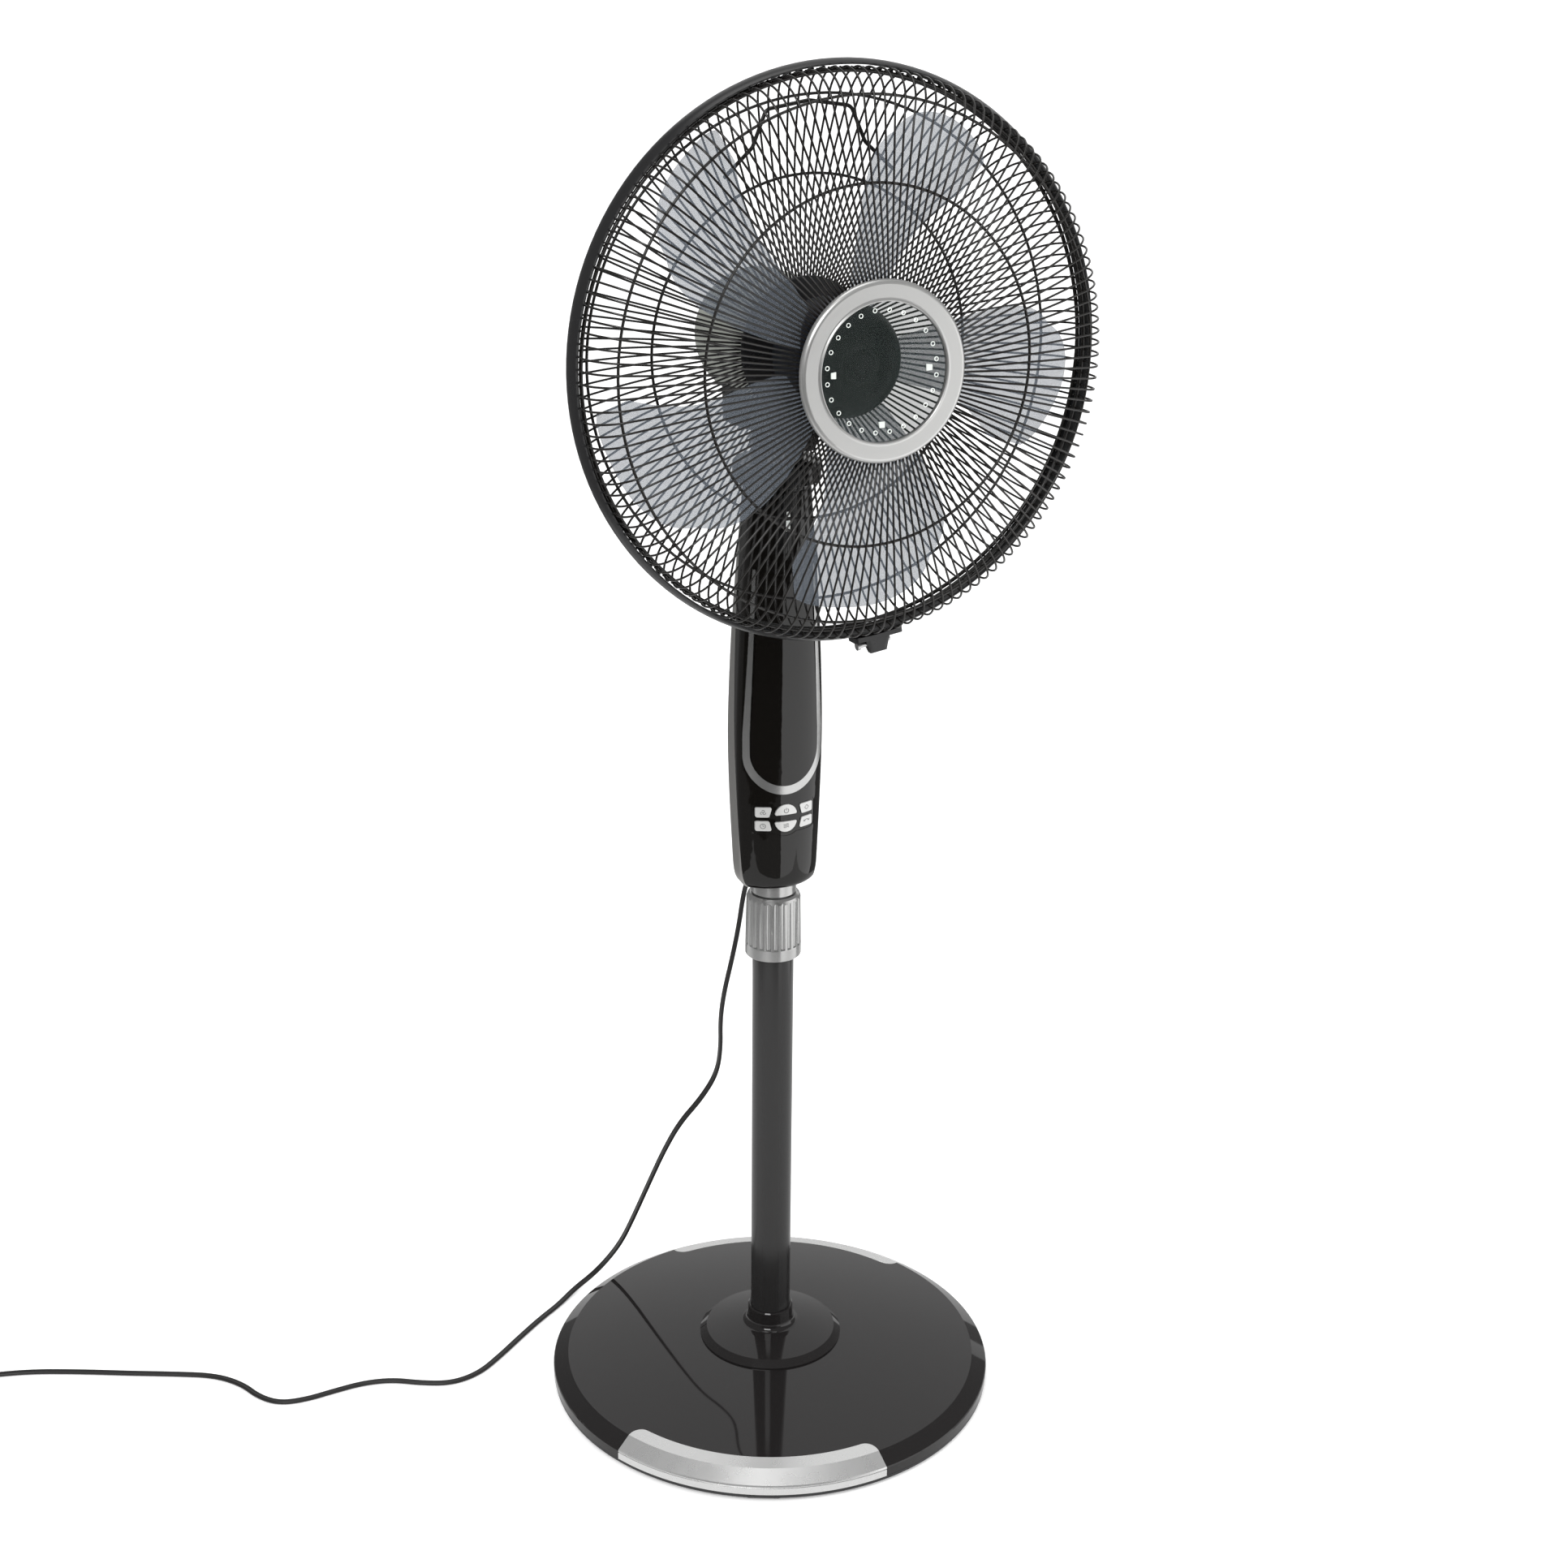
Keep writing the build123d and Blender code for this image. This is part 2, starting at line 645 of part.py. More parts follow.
# ================================================================== TILTING NECK
SOCKET_TOP, SOCKET_FOOT = 20.6, 14.4      # heights above the tilt pivot along the swing axis
PIVOT_UP = Plane(origin=PIVOT, x_dir=RIGHT, z_dir=SWING_DIR)

with BuildPart() as tilt_knuckle:
    with BuildSketch(SIDE.offset(-11.6)):
        Circle(12)
        Circle(3.6, mode=Mode.SUBTRACT)
    extrude(amount=23.2)
    with BuildSketch(PIVOT_UP.offset(5)):
        Circle(11.0)
    extrude(amount=SOCKET_FOOT - 4)
    with BuildSketch(PIVOT_UP.offset(SOCKET_FOOT)):
        Circle(12.4)
    extrude(amount=SOCKET_TOP - SOCKET_FOOT)
    with BuildSketch(PIVOT_UP.offset(5.5)):
        Circle(5.0)
    extrude(amount=40, mode=Mode.SUBTRACT)
    with BuildSketch(SIDE.offset(-11.6)):
        Circle(3.6)
    extrude(amount=23.2, mode=Mode.SUBTRACT)
save(tilt_knuckle, "tilt_knuckle")

with BuildPart() as swing_shaft:
    with BuildSketch(PIVOT_UP.offset(5.6)):
        Circle(4.98)
        Circle(2.5, mode=Mode.SUBTRACT)
    extrude(amount=LIFT - 5.6 - 14)
    with BuildSketch(PIVOT_UP.offset(LIFT - 18)):
        Circle(4.98)
        Circle(3.9, mode=Mode.SUBTRACT)
    extrude(amount=1.2, mode=Mode.SUBTRACT)
save(swing_shaft, "swing_shaft")

with BuildPart() as tilt_bolt:
    with BuildSketch(SIDE.offset(-22)):
        RegularPolygon(6.2, 6)
    extrude(amount=3.9)
    with BuildSketch(SIDE.offset(-18.1)):
        Circle(3.5)
    extrude(amount=44)
save(tilt_bolt, "tilt_bolt")

# star knob that clamps the tilt
with BuildPart() as tilt_knob:
    with BuildSketch(SIDE.offset(18.1)):
        Circle(5.6)
        Circle(3.5, mode=Mode.SUBTRACT)
    extrude(amount=4)
    with BuildSketch(SIDE.offset(22.1)):
        Circle(11)
        with PolarLocations(12.4, 8):
            Circle(2.6, mode=Mode.SUBTRACT)
        Circle(3.5, mode=Mode.SUBTRACT)
    extrude(amount=8)
    with BuildSketch(SIDE.offset(30.1)):
        Circle(8)
    extrude(amount=1.6, taper=30)
save(tilt_knob, "tilt_knob")

# ================================================================== MOTOR
def ring_solid(outer, inner, back, front):
    """A plain ring on the motor's axis between two distances along it."""
    with BuildPart(mode=Mode.PRIVATE) as ring:
        with BuildSketch(HEAD.offset(back)):
            Circle(outer)
            Circle(inner, mode=Mode.SUBTRACT)
        extrude(amount=front - back)
    return ring.part


with BuildPart() as motor_front_bell:
    add(ring_solid(49.6, 4.06, -68.0, -63.6))
    add(ring_solid(40.0, 4.06, -63.6, -60.8))
    add(ring_solid(20.0, 5.2, -61.0, -44.0))
    for turn in range(3):
        with BuildSketch(HEAD.offset(-72)):
            with Locations(polar(46, 90 + 120 * turn)):
                Circle(2.6)
        extrude(amount=4.2)
save(motor_front_bell, "motor_front_bell")

with BuildPart() as rear_bell:
    add(ring_solid(49.6, 4.06, -104.0, -101.0))
    add(ring_solid(14.0, 4.06, -106.5, -104.0))
    with BuildSketch(HEAD.offset(-107)):
        with Locations((17, 0)):
            Circle(13.2)
    extrude(amount=2.9, mode=Mode.SUBTRACT)
save(rear_bell, "rear_bell")

with BuildPart() as stator_core:
    with BuildSketch(HEAD.offset(-92)):
        Circle(42)
        Circle(22, mode=Mode.SUBTRACT)
        with PolarLocations(27, 16):
            Rectangle(9.5, 3.4, mode=Mode.SUBTRACT)
    extrude(amount=20)
    for back, front in ((-99.0, -91.5), (-72.5, -69.0)):       # coil ends
        with BuildSketch(HEAD.offset(back)):
            Circle(36)
            Circle(33, mode=Mode.SUBTRACT)
        extrude(amount=front - back)
save(stator_core, "stator_core")

# shell with a domed back; open below for the swing gear
with BuildPart() as motor_shell:
    with BuildSketch(PROFILE):
        with BuildLine():
            Polyline((50.0, -64.0), (MOTOR_R, -64.0), (MOTOR_R, -150.0))
            ThreePointArc((MOTOR_R, -150.0), (43.5, -173.0), (22.0, -182.0))
            Line((22.0, -182.0), (0, -182.6))
            Line((0, -182.6), (0, -180.6))
            Line((0, -180.6), (21.4, -180.0))
            ThreePointArc((21.4, -180.0), (42.0, -171.6), (50.0, -150.0))
            Line((50.0, -150.0), (50.0, -64.0))
        make_face()
    revolve(axis=SHAFT)
    with BuildSketch(PROFILE.offset(30)):
        with Locations((7.5, -123)):
            Rectangle(44, 42)
    extrude(amount=40, mode=Mode.SUBTRACT)
    # cooling slots around the back
    with BuildSketch(HEAD.offset(-190)):
        with PolarLocations(32, 20):
            SlotOverall(12, 2.6)
    extrude(amount=24, mode=Mode.SUBTRACT)
save(motor_shell, "motor_shell")

with BuildPart() as gearbox_block:
    with BuildSketch(SWING.offset(-55)):
        with Locations((7.5, 6.4)):
            Rectangle(39, 38)
    extrude(amount=41)
    add(ring_solid(49.6, 0.01, -160, -104.1), mode=Mode.INTERSECT)
    with BuildSketch(SWING.offset(-60)):
        Circle(5.06)
        with Locations((17, 10)):
            Circle(3.05)
    extrude(amount=60, mode=Mode.SUBTRACT)
save(gearbox_block, "gearbox_block")

# housing below the motor that hides the swing gear
with BuildPart() as gearbox_cover:
    with BuildSketch(SWING.offset(-67)):
        with Locations((0, 0.4)):
            RectangleRounded(76, 60, 12)
    extrude(amount=37)
    fillet(gearbox_cover.faces().sort_by(Axis(SWING.origin, SWING_DIR))[0].edges(), 3)
    with BuildSketch(SWING.offset(-64.6)):
        with Locations((0, 0.4)):
            RectangleRounded(71.6, 55.6, 10)
    extrude(amount=40, mode=Mode.SUBTRACT)
    add(ring_solid(MOTOR_R + 0.1, 0.01, -190, -50), mode=Mode.SUBTRACT)
    with BuildSketch(SWING.offset(-70)):
        Circle(12.9)
    extrude(amount=10, mode=Mode.SUBTRACT)
save(gearbox_cover, "gearbox_cover")

# crank of the swing gearmotor: spindle with a disc and a pin below
with BuildPart() as swing_crank:
    gear_at = (17, 10)
    with BuildSketch(SWING.offset(-55.2)):
        with Locations(gear_at):
            Circle(2.98)
    extrude(amount=46)
    with BuildSketch(SWING.offset(-58.2)):
        with Locations(gear_at):
            Circle(9.5)
    extrude(amount=3)
    with BuildSketch(SWING.offset(-61.5)):
        with Locations((17, 16.4)):
            Circle(1.8)
    extrude(amount=3.5)
save(swing_crank, "swing_crank")

# ================================================================== ROTOR
with BuildPart() as motor_shaft:
    with BuildSketch(HEAD.offset(-112)):
        Circle(4.0)
    extrude(amount=137)
    chamfer(motor_shaft.edges().sort_by(SHAFT)[-1], 0.6)
    add(ring_solid(21.6, 3.9, -92.0, -72.0))
    add(ring_solid(19.5, 12.0, -94.5, -92.0))
    add(ring_solid(19.5, 12.0, -72.0, -70.2))
save(motor_shaft, "motor_shaft")

HUB_R = 43.4
# edges of a blade: radius and angle from the middle of its tip
LEADING = [(40, -8), (70, -8), (115, -7), (150, -11.5), (176, -15.5)]
TIP = [(189, -13), (BLADE_R, -3), (195, 6), (187.5, 14)]
TRAILING = [(170, 20), (157, 25), (130, 29.5), (105, 31.5), (75, 33), (40, 36)]
PITCH = [(34, 39), (70, 37), (110, 33), (150, 25.5), (180, 19), (202, 15)]
MIDDLE = 10               # the sections are square to this angle


def blade_section(reach, pitch):
    """A thin bowed strip across the blade, square to the blade's middle line."""
    slope = math.tan(math.radians(pitch))
    half, bow, thick = 26 + 0.26 * reach, 0.028 * reach, 1.9
    plane = Plane(origin=HEAD.from_local_coords((*polar(reach, MIDDLE), 0)),
                  x_dir=HEAD.z_dir.cross(radial), z_dir=radial)
    with BuildSketch(plane) as strip:
        with BuildLine():
            low, high = 1.5 - half * slope, 1.5 + half * slope
            ThreePointArc((-half, low), (0, 1.5 + bow), (half, high))
            Line((half, high), (half, high + thick))
            ThreePointArc((half, high + thick), (0, 1.5 + bow + thick), (-half, low + thick))
            Line((-half, low + thick), (-half, low))
        make_face()
    return strip


radial = (RIGHT * math.cos(math.radians(MIDDLE)) + SWING_DIR * math.sin(math.radians(MIDDLE)))

with BuildPart() as blade:
    loft(sections=[blade_section(reach, pitch).sketch.faces()[0] for reach, pitch in PITCH])
    with BuildSketch(HEAD.offset(-60)):
        with BuildLine():
            Spline(*[polar(*p) for p in LEADING])
            Spline(polar(*LEADING[-1]), *[polar(*p) for p in TIP], polar(*TRAILING[0]))
            Spline(*[polar(*p) for p in TRAILING])
            Line(polar(*TRAILING[-1]), polar(*LEADING[0]))
        make_face()
    extrude(amount=120, mode=Mode.INTERSECT)
    add(ring_solid(HUB_R + 0.02, 0.01, -60, 60), mode=Mode.SUBTRACT)

with BuildPart() as fan_blades:
    for turn in range(BLADES):
        add(blade.part.rotate(SHAFT, BLADE_TURN + 360 / BLADES * turn))
save(fan_blades, "fan_blades")

with BuildPart() as fan_hub:
    with BuildSketch(PROFILE):
        with BuildLine():
            Line((HUB_R, -28), (HUB_R, 14))
            ThreePointArc((HUB_R, 14), (34.5, 29.0), (14, 36))
            Line((14, 36), (4.02, 36))
            Line((4.02, 36), (4.02, 4))
            Line((4.02, 4), (10, 4))
            Line((10, 4), (10.5, 33))
            ThreePointArc((10.5, 33), (32.5, 26.8), (HUB_R - 2.2, 13))
            Line((HUB_R - 2.2, 13), (HUB_R - 2.2, -28))
            Line((HUB_R - 2.2, -28), (HUB_R, -28))
        make_face()
    revolve(axis=SHAFT)
save(fan_hub, "fan_hub")

# left-hand nut that holds the blades on the shaft
with BuildPart() as spinner_cap:
    with BuildSketch(PROFILE):
        with BuildLine():
            Polyline((0, 41.2), (8, 41.0), (12.5, 39.4), (15, 36.05), (4.3, 36.05))
            Line((4.3, 36.05), (4.3, 37))
            Line((4.3, 37), (0, 37))
            Line((0, 37), (0, 41.2))
        make_face()
    revolve(axis=SHAFT)
    with BuildSketch(HEAD.offset(39)):
        with PolarLocations(12.5, 3, start_angle=90):
            Rectangle(6, 2.2, mode=Mode.ADD)
    extrude(amount=4, mode=Mode.SUBTRACT)
save(spinner_cap, "spinner_cap")

# ================================================================== GUARDS
FRONT_IN, FRONT_IN_S = 61.5, 70.6
SHOULDER_R, SHOULDER_S = 191.3, 42.8
WIDEST_R, WIDEST_S = 214.8, 14.0        # where the front wires stand out furthest
TUCK_R, TUCK_S = 212.4, 7.2             # where they turn in under the rim's lip
END_R, END_S = 212.2, 3.2               # their ends inside the rim


def wire_cage(path):
    """Radial wires: one swept along its path, then repeated around the motor's axis."""
    with BuildPart(mode=Mode.PRIVATE) as wire:
        with BuildSketch(Plane(origin=path.edges()[0] @ 0, z_dir=path.edges()[0] % 0)):
            Circle(WIRE_R)
        sweep(path=path.wires()[0])
    turns = [wire.part.rotate(SHAFT, 360 / WIRES * i) for i in range(WIRES)]
    return Compound(children=turns)


with BuildLine(PROFILE) as front_path:
    Line((FRONT_IN, FRONT_IN_S), (SHOULDER_R, SHOULDER_S))
    shoulder = TangentArc((SHOULDER_R, SHOULDER_S), (WIDEST_R, WIDEST_S),
                          tangent=front_path.line % 1)
    TangentArc((WIDEST_R, WIDEST_S), (TUCK_R, TUCK_S), tangent=shoulder % 1)
    Line((TUCK_R, TUCK_S), (END_R, END_S))

with BuildLine(PROFILE) as rear_path:
    sweep_out = ThreePointArc((52.5, -61.5), (133, -52.5), (194, -31.6))
    TangentArc((194, -31.6), (END_R, -END_S), tangent=sweep_out % 1)

front_guard_wires = wire_cage(front_path)
rear_guard_wires = wire_cage(rear_path)
for cage, name in ((front_guard_wires, "front_guard_wires"), (rear_guard_wires, "rear_guard_wires")):
    cage.label = name
    export_step(cage, f"parts/{name}.step")


def hoop(radius, distance, wire_r):
    """A closed ring of round wire around the motor's axis."""
    with BuildPart(mode=Mode.PRIVATE) as ring:
        with BuildSketch(PROFILE):
            with Locations((radius, distance)):
                Circle(wire_r)
        revolve(axis=SHAFT)
    return ring.part


def beside(path, radius, gap, inward):
    """A point next to a cage wire, where a hoop of wire touches it."""
    edge = [e for e in path.edges() if _reach(e @ 0) <= radius <= _reach(e @ 1)][0]
    u0, u1 = 0.0, 1.0
    for _ in range(30):
        middle = (u0 + u1) / 2
        u0, u1 = (middle, u1) if _reach(edge @ middle) < radius else (u0, middle)
    point, along = edge @ u0, edge % u0
    side = along.cross(SWING_DIR) * (-1 if inward else 1)
    point = HEAD.to_local_coords(point + side * gap)
    return point.X, point.Z


def _reach(point):
    return HEAD.to_local_coords(point).X


RING_WIRE = 1.1
GAP = WIRE_R + RING_WIRE + 0.03

with BuildPart() as front_guard_rings:
    for radius in (64.0, 134.0, 195.5):
        add(hoop(*beside(front_path, radius, GAP, True), RING_WIRE))
    add(hoop(212.2 - WIRE_R - 1.53, 4.6, 1.5))
save(front_guard_rings, "front_guard_rings")

with BuildPart() as rear_guard_rings:
    for radius in (133.0, 193.0):
        add(hoop(*beside(rear_path, radius, GAP, False), RING_WIRE))
    add(hoop(212.2 - WIRE_R - 1.53, -4.6, 1.5))
save(rear_guard_rings, "rear_guard_rings")

with BuildPart() as rear_guard_plate:
    with BuildSketch(PROFILE):
        with BuildLine():
            Polyline((20.3, -60.7), (55.0, -60.7), (55.0, -60.0), (54.0, -59.0), (36.0, -59.0),
                     (33.0, -58.7), (20.3, -58.7), close=True)
        make_face()
    revolve(axis=SHAFT)
save(rear_guard_plate, "rear_guard_plate")

# large nut that holds the rear guard on the motor
with BuildPart() as guard_nut:
    add(ring_solid(30, 20.08, -58.6, -46.0))
    with BuildSketch(HEAD.offset(-56)):
        with PolarLocations(30.6, 18):
            Circle(1.8)
    extrude(amount=10, mode=Mode.SUBTRACT)
save(guard_nut, "guard_nut")

# hoop moulding over both rims
with BuildPart() as rim_band:
    with BuildSketch(PROFILE):
        with BuildLine():
            ThreePointArc((215.4, -8.8), (HOOP_R, 0), (215.4, 8.8))
            Line((215.4, 8.8), (214.1, 8.5))
            ThreePointArc((214.1, 8.5), (HOOP_R - 1.7, 0), (214.1, -8.5))
            Line((214.1, -8.5), (215.4, -8.8))
        make_face()
    revolve(axis=SHAFT)
save(rim_band, "rim_band")

# buckle that closes the hoop under the head, with its screw
BUCKLE = -82.4
buckle_dir = RIGHT * polar(1, BUCKLE)[0] + SWING_DIR * polar(1, BUCKLE)[1]
buckle_side = FORWARD.cross(buckle_dir)
BUCKLE_PLANE = Plane(origin=HEAD.origin + buckle_dir * (HOOP_R - 1.0), x_dir=buckle_side,
                     z_dir=buckle_dir)

with BuildPart() as band_clamp:
    with BuildSketch(BUCKLE_PLANE):
        RectangleRounded(42, 15, 3)
    extrude(amount=4.5)
    with BuildSketch(BUCKLE_PLANE.offset(4.0)):
        RectangleRounded(22, 13, 3)
    extrude(amount=13, taper=17)
    add(ring_solid(HOOP_R + 0.02, 0.01, -30, 30), mode=Mode.SUBTRACT)
    with BuildSketch(Plane(origin=BUCKLE_PLANE.from_local_coords((-30, 0, 9)),
                           x_dir=FORWARD, z_dir=buckle_side)):
        Circle(2.02)
    extrude(amount=60, mode=Mode.SUBTRACT)
save(band_clamp, "band_clamp")

with BuildPart() as band_screw:
    screw_at = BUCKLE_PLANE.from_local_coords((-17.5, 0, 9))
    with BuildSketch(Plane(origin=screw_at, x_dir=FORWARD, z_dir=buckle_side)):
        Circle(3.4)
    extrude(amount=2.4)
    with BuildSketch(Plane(origin=screw_at, x_dir=FORWARD, z_dir=buckle_side)):
        Circle(1.98)
    extrude(amount=29)
save(band_screw, "band_screw")

# bright ring and clear window in the middle of the front guard
with BuildPart() as hub_ring:
    with BuildSketch(PROFILE):
        with BuildLine():
            Polyline((WINDOW_R + 0.2, 71.7), (WINDOW_R + 0.2, 75.3), (52.3, 75.8), (53.3, 75.2),
                     (54.2, HUB_RING_Z), (63.8, HUB_RING_Z), close=False)
            ThreePointArc((63.8, HUB_RING_Z), (66.5, 73.6), (HUB_RING_R, 70.6))
            Polyline((HUB_RING_R, 70.6), (66.2, 70.6), (65.6, 71.7), (WINDOW_R + 0.2, 71.7),
                     close=False)
        make_face()
    revolve(axis=SHAFT)
save(hub_ring, "hub_ring")

with BuildPart() as hub_window:
    with BuildSketch(PROFILE):
        with BuildLine():
            Line((0, 67.4), (36.0, 68.4))
            ThreePointArc((36.0, 68.4), (44.0, 69.8), (WINDOW_R, 72.8))
            Line((WINDOW_R, 72.8), (WINDOW_R, 71.6))
            Line((WINDOW_R, 71.6), (58.0, 71.6))
            Line((58.0, 71.6), (58.0, 70.2))
            Line((58.0, 70.2), (50.0, 70.2))
            ThreePointArc((50.0, 70.2), (43.5, 68.0), (36.0, 66.9))
            Line((36.0, 66.9), (0, 65.9))
            Line((0, 65.9), (0, 67.4))
        make_face()
    revolve(axis=SHAFT)
    with BuildSketch(HEAD.offset(60)):
        with PolarLocations(45, 24, start_angle=7.5):
            Circle(1.15)
    extrude(amount=20, mode=Mode.SUBTRACT)
save(hub_window, "hub_window")

# carrying loop behind the rear guard: a flat loop of rod that the curved guard falls away from
LOOP_S = -50.3
with BuildPart() as guard_handle:
    corners = [polar(r, a) for r, a in ((150, 118), (160.5, 107), (184, 101), (186, 90),
                                        (184, 79), (160.5, 73), (150, 62))]
    with BuildLine(HEAD.offset(LOOP_S)) as loop_line:
        FilletPolyline(*corners, radius=7)
    with BuildSketch(Plane(origin=loop_line.wires()[0] @ 0, z_dir=loop_line.wires()[0] % 0)):
        Circle(1.5)
    sweep(path=loop_line.wires()[0])
save(guard_handle, "guard_handle")

# ================================================================== MAINS LEAD
LEAD_R = 2.2
FLOOR = LEAD_R + 0.05

lead_start = GLAND.from_local_coords((0, 0, 5.12 + RELIEF_LENGTH))
LEAD = [
    lead_start,
    lead_start + LEAD_DIR * 16,
    Vector(-7.5, 55.5, 459), Vector(-10.5, 58.5, 428), Vector(-16, 60.5, 396),
    Vector(-22.2, 65, 361), Vector(-24.3, 69, 332), Vector(-22.2, 73.5, 301),
    Vector(-24, 79.5, 272), Vector(-36, 89.5, 243), Vector(-53, 102, 214),
    Vector(-64.5, 116, 178), Vector(-74.5, 130.5, 138), Vector(-84, 147, 96),
    Vector(-91, 163, 62), Vector(-99, 178, 36), Vector(-113, 187, 14),
    Vector(-135, 182, 4), Vector(-156, 164, FLOOR), Vector(-180, 146, FLOOR),
    Vector(-206, 123.5, FLOOR), Vector(-232, 100, FLOOR), Vector(-257, 80, FLOOR),
    Vector(-284, 73.5, FLOOR), Vector(-310, 83, FLOOR), Vector(-334, 97, FLOOR),
    Vector(-360, 101.5, FLOOR), Vector(-388, 98.5, FLOOR), Vector(-414, 94.5, FLOOR),
    Vector(-438, 97, FLOOR), Vector(-454, 113, FLOOR), Vector(-465, 138, FLOOR),
    Vector(-486, 160, FLOOR), Vector(-520, 175, FLOOR), Vector(-560, 191, FLOOR),
    Vector(-602, 209, FLOOR), Vector(-648, 226, FLOOR), Vector(-696, 234, FLOOR),
    Vector(-744, 229, FLOOR), Vector(-784, 206, FLOOR), Vector(-806, 166, FLOOR),
    Vector(-810, 120, FLOOR), Vector(-800, 78, FLOOR), Vector(-784, 46, FLOOR),
]


def bend_radii(points):
    """The largest radius each corner has room for: 0.45 of the shorter run over tan(turn / 2)."""
    radii = []
    for before, corner, after in zip(points, points[1:], points[2:]):
        turn = (corner - before).get_angle(after - corner)
        shorter = min((corner - before).length, (after - corner).length)
        radii.append(0.45 * shorter / math.tan(math.radians(turn / 2)))
    return radii


lead_radii = bend_radii(LEAD)
with BuildPart() as power_cord:
    with BuildLine() as lead_path:
        FilletPolyline(*LEAD, radius=lead_radii)
    lead_wire = lead_path.wires()[0]
    with BuildSketch(Plane(origin=lead_wire @ 0, z_dir=lead_wire % 0)):
        Circle(LEAD_R)
    sweep(path=lead_wire)
save(power_cord, "power_cord")
print("lead length", round(lead_wire.length), "smallest bend", round(min(lead_radii), 1))
print("lead volume", round(power_cord.part.volume), round(math.pi * LEAD_R**2 * lead_wire.length))

# plug with two flat blades, lying at the lead's end
plug_dir = (LEAD[-1] - LEAD[-2]).normalized()
PLUG = Plane(origin=LEAD[-1] + plug_dir * 0.05, x_dir=plug_dir.cross(Vector(0, 0, 1)), z_dir=plug_dir)

# the plug lies on one of its flat sides, its middle a little above the lead's
with BuildPart() as plug:
    with BuildSketch(PLUG):
        Circle(2.3)
    with BuildSketch(PLUG.offset(20.1)):
        with Locations((0, -1.2)):
            Circle(3.4)
    loft()
    with BuildSketch(PLUG.offset(20.05)):
        with Locations((0, -4.2)):
            RectangleRounded(19, 12.2, 4)
    with BuildSketch(PLUG.offset(34)):
        with Locations((0, -4.2)):
            RectangleRounded(26, 12.6, 4)
    with BuildSketch(PLUG.offset(47)):
        with Locations((0, -4.2)):
            RectangleRounded(26, 12.6, 4)
    loft()
    for side in (-6.35, 6.35):
        with BuildSketch(PLUG.offset(43)):
            with Locations((side, -4.2)):
                Rectangle(1.5, 6.3)
        extrude(amount=10, mode=Mode.SUBTRACT)
save(plug, "plug")

with BuildPart() as plug_pins:
    for side in (-6.35, 6.35):
        with BuildSketch(PLUG.offset(43.05)):
            with Locations((side, -4.2)):
                Rectangle(1.48, 6.28)
        extrude(amount=21)
save(plug_pins, "plug_pins")
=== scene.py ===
"""Pedestal fan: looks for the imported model.  Metres, +Z up, the column faces -Y."""

import json
import math

import bpy
from mathutils import Matrix, Vector
from mathutils.bvhtree import BVHTree


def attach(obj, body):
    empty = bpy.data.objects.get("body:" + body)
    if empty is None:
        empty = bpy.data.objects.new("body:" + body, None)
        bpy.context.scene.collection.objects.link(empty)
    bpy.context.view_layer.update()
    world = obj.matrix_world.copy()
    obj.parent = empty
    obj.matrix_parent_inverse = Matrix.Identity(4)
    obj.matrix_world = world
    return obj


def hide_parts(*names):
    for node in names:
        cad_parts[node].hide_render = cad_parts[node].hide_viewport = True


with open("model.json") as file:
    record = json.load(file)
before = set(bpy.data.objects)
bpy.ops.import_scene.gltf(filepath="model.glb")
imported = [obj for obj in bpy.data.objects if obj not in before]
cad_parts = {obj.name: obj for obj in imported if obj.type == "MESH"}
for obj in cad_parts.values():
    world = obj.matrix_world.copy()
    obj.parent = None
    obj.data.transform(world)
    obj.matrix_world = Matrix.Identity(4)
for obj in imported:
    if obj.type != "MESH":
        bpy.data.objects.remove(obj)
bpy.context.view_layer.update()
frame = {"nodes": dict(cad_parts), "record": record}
MM = 0.001
scene = bpy.context.scene

# ------------------------------------------------------------------ camera
CAMERA_AT = Vector((-0.7185, -1.8915, 1.3960))
CAMERA_HEADING, CAMERA_PITCH, CAMERA_ROLL = 21.03, 21.861, 0.531
LENS = 59.147

camera = bpy.data.objects.new("camera", bpy.data.cameras.new("camera"))
scene.collection.objects.link(camera)
camera.data.lens = LENS
camera.data.sensor_width = 36
camera.data.clip_end = 50
camera.matrix_world = (
    Matrix.Translation(CAMERA_AT)
    @ Matrix.Rotation(math.radians(-CAMERA_HEADING), 4, "Z")
    @ Matrix.Rotation(math.radians(90 - CAMERA_PITCH), 4, "X")
    @ Matrix.Rotation(math.radians(CAMERA_ROLL), 4, "Z")
)
scene.camera = camera
scene.view_settings.view_transform = "Standard"


